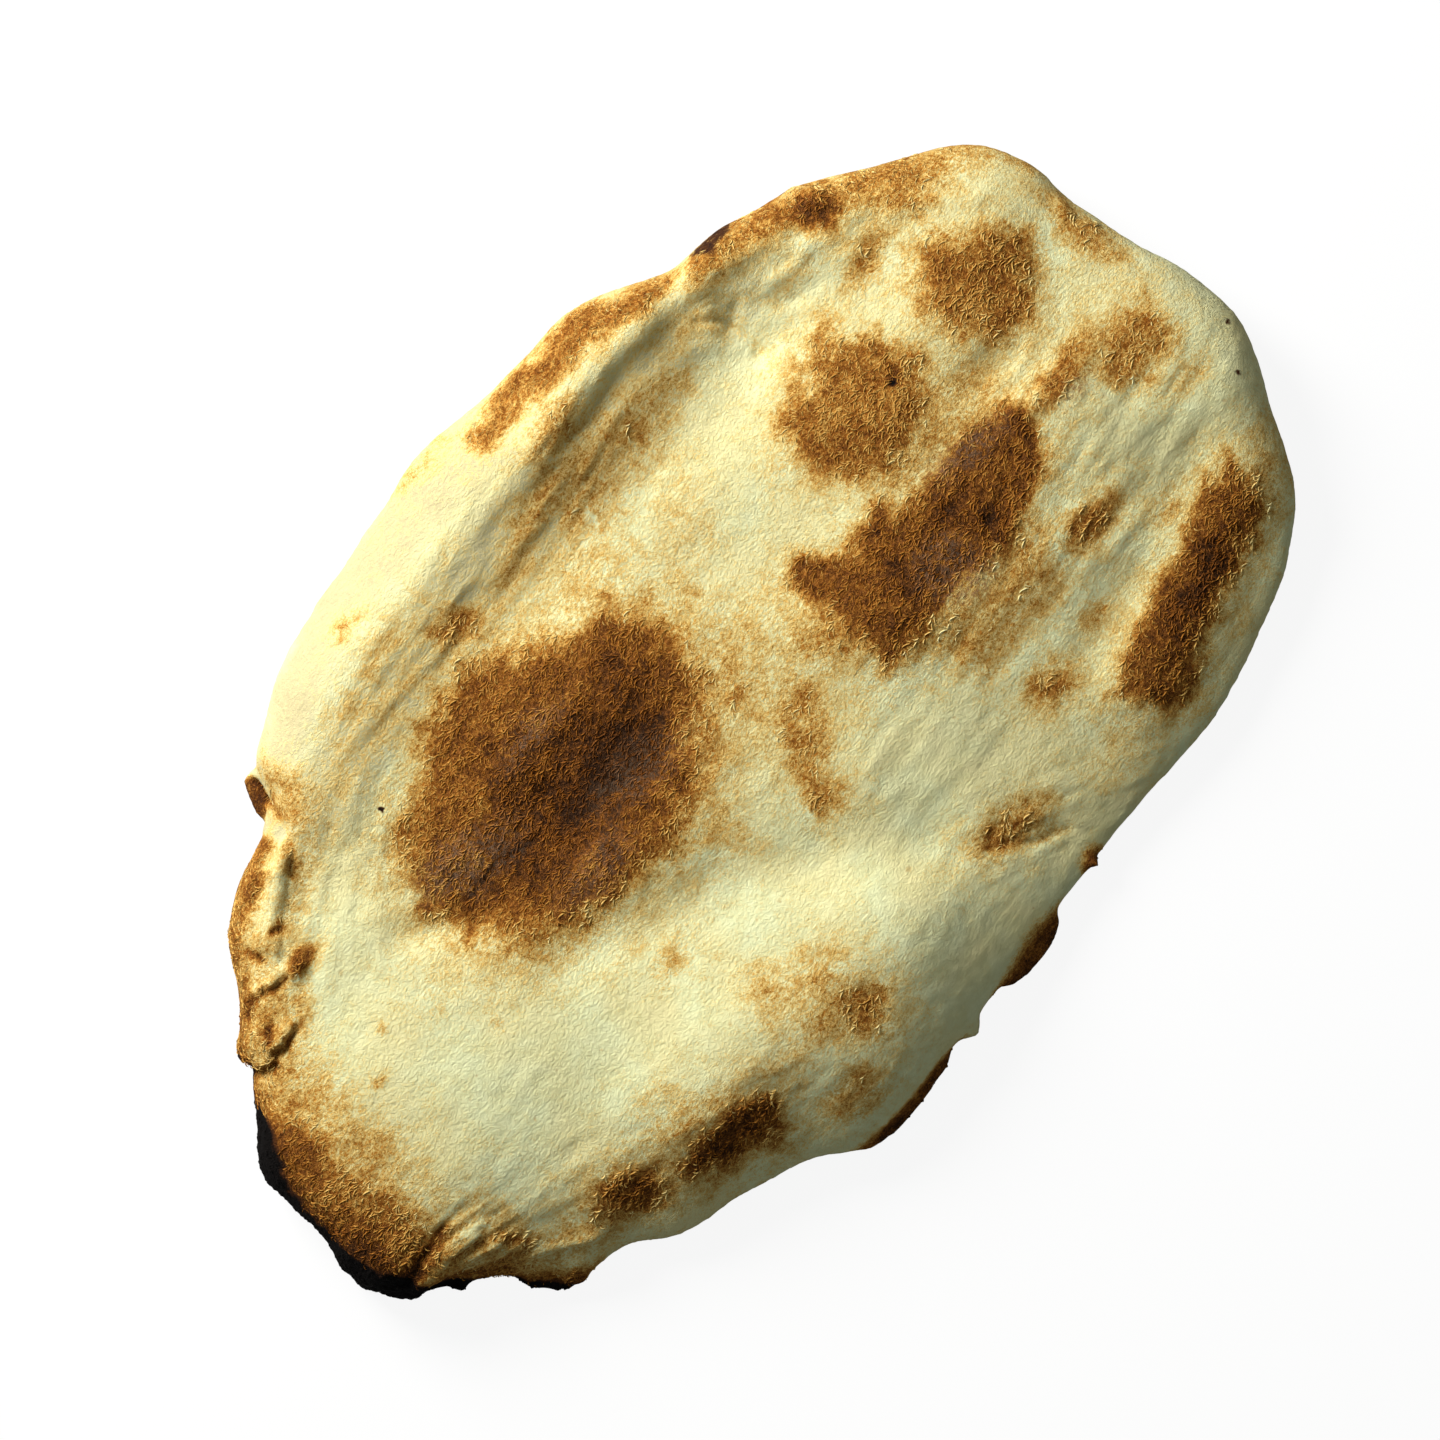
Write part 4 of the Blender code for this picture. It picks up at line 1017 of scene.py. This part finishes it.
def tuft(name):
    # bent slivers with three sides and pointed ends, one unit long, lying about the origin
    made = bmesh.new()
    for middleX, middleY, turn, long, curl in fibres["slivers"]:
        face = math.radians(turn)
        rows = []
        for step in range(4):
            along = (step / 3 - 0.5) * long
            away = 1 - (2 * step / 3 - 1) ** 2
            wide, raised = fibres["thick"] * away ** 0.6, fibres["arch"] * away
            row = [(along, curl * away * long + side * wide, raised + lift * wide)
                   for side, lift in ((-1, -0.5), (1, -0.5), (0, 0.9))]
            if step in (0, 3):
                row = [(along, curl * away * long, -0.02)]
            rows.append([made.verts.new((middleX + x * math.cos(face) - y * math.sin(face),
                                         middleY + x * math.sin(face) + y * math.cos(face), z))
                         for x, y, z in row])
        for first, second in zip(rows, rows[1:]):
            for side in range(3):
                corners = [first[side % len(first)], first[(side + 1) % len(first)],
                           second[(side + 1) % len(second)], second[side % len(second)]]
                made.faces.new(list(dict.fromkeys(corners)))
    bmesh.ops.recalc_face_normals(made, faces=made.faces)
    return bitFrom(made, name)


def lump(name, flat, seed):
    # a rough flattened lump, one unit wide
    made = bmesh.new()
    bmesh.ops.create_icosphere(made, subdivisions=1, radius=0.5)
    for vert in made.verts:
        vert.co *= 1 + 0.6 * noise.noise(vert.co * 3.1 + Vector((seed, 0, 0)))
        vert.co.z *= flat
    return bitFrom(made, name)


def strewnTree():
    # strews one small shape over the surface where a stored amount is high, turned along a heading
    labels = ["Per square metre", "Low", "High", "Least size", "Most size", "Heading", "Spread", "Sink"]
    tree, given, out = newReliefTree("strewnBits", [
        *((label, "Float") for label in labels), ("Amount", "String"), ("Seed", "Int"), ("Bit", "Object")])

    def anyValue(low, high, seedStep):
        step = addNode(tree, "FunctionNodeRandomValue", {
            "Seed": plus(tree, given["Seed"], seedStep)}, data_type="FLOAT")
        for socket, value in zip([s for s in step.inputs if s.type == "VALUE"], (low, high)):
            wire(tree, value, socket)
        return [s for s in step.outputs if s.type == "VALUE"][0]

    amount = storedValue(tree, given["Amount"])
    share = rangeNode(tree, amount, given["Low"], given["High"])
    thrown = addNode(tree, "GeometryNodeDistributePointsOnFaces", {
        "Mesh": given["Geometry"], "Seed": given["Seed"],
        "Density": times(tree, share, given["Per square metre"])}, distribute_method="RANDOM")
    upright = addNode(tree, "FunctionNodeAlignRotationToVector", {"Vector": thrown.outputs["Normal"]},
                      axis="Z")
    swing = times(tree, given["Spread"], anyValue(-1.0, 1.0, 3))
    angle = plus(tree, given["Heading"], swing)
    toward = addNode(tree, "ShaderNodeCombineXYZ", {
        "X": mathNode(tree, "COSINE", angle), "Y": mathNode(tree, "SINE", angle)})
    turned = addNode(tree, "FunctionNodeAlignRotationToVector", {
        "Rotation": upright.outputs["Rotation"], "Vector": toward.outputs[0]}, axis="X", pivot_axis="Z")
    sunk = moved(tree, thrown.outputs["Points"], thrown.outputs["Normal"],
                 times(tree, given["Sink"], -1.0))
    bit = addNode(tree, "GeometryNodeObjectInfo", {"Object": given["Bit"]})
    placed = addNode(tree, "GeometryNodeInstanceOnPoints", {
        "Points": sunk, "Instance": bit.outputs["Geometry"], "Rotation": turned.outputs["Rotation"],
        "Scale": anyValue(given["Least size"], given["Most size"], 7)})
    endTree(tree, placed.outputs[0], given, out)
    return tree


def strew(name, kind, bit, amount, material):
    piece = addObject(name, shell.data.copy())
    piece.data.name = name
    bit.data.materials.append(material)
    strewn = piece.modifiers.new("strewn", "NODES")
    strewn.node_group = strewnBits
    setInputs(strewn, strewnBits, {
        "Per square metre": kind["perSquare"] * 1e6, "Low": kind["range"][0], "High": kind["range"][1],
        "Least size": kind["size"][0] * mm, "Most size": kind["size"][1] * mm,
        "Heading": math.radians(kind["heading"]), "Spread": math.radians(kind["spread"]),
        "Sink": kind["sink"] * mm, "Amount": amount, "Seed": kind["seed"], "Bit": bit,
        "Material": material})
    mesh = meshOf(piece)
    bpy.data.objects.remove(bit)
    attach(piece, "root")
    print(name + ":", len(mesh.loop_triangles), "triangles")


strewnBits = strewnTree()
strew("feltFibres", fibres, tuft("tuft"), "felted", feltedCrust)
strew("burntFlakes", flakes, lump("flake", flat=0.55, seed=3), "burn", bakedCrust)
strew("edgeCrumbs", crumbs, lump("crumb", flat=0.8, seed=8), "crumbly", bakedCrust)
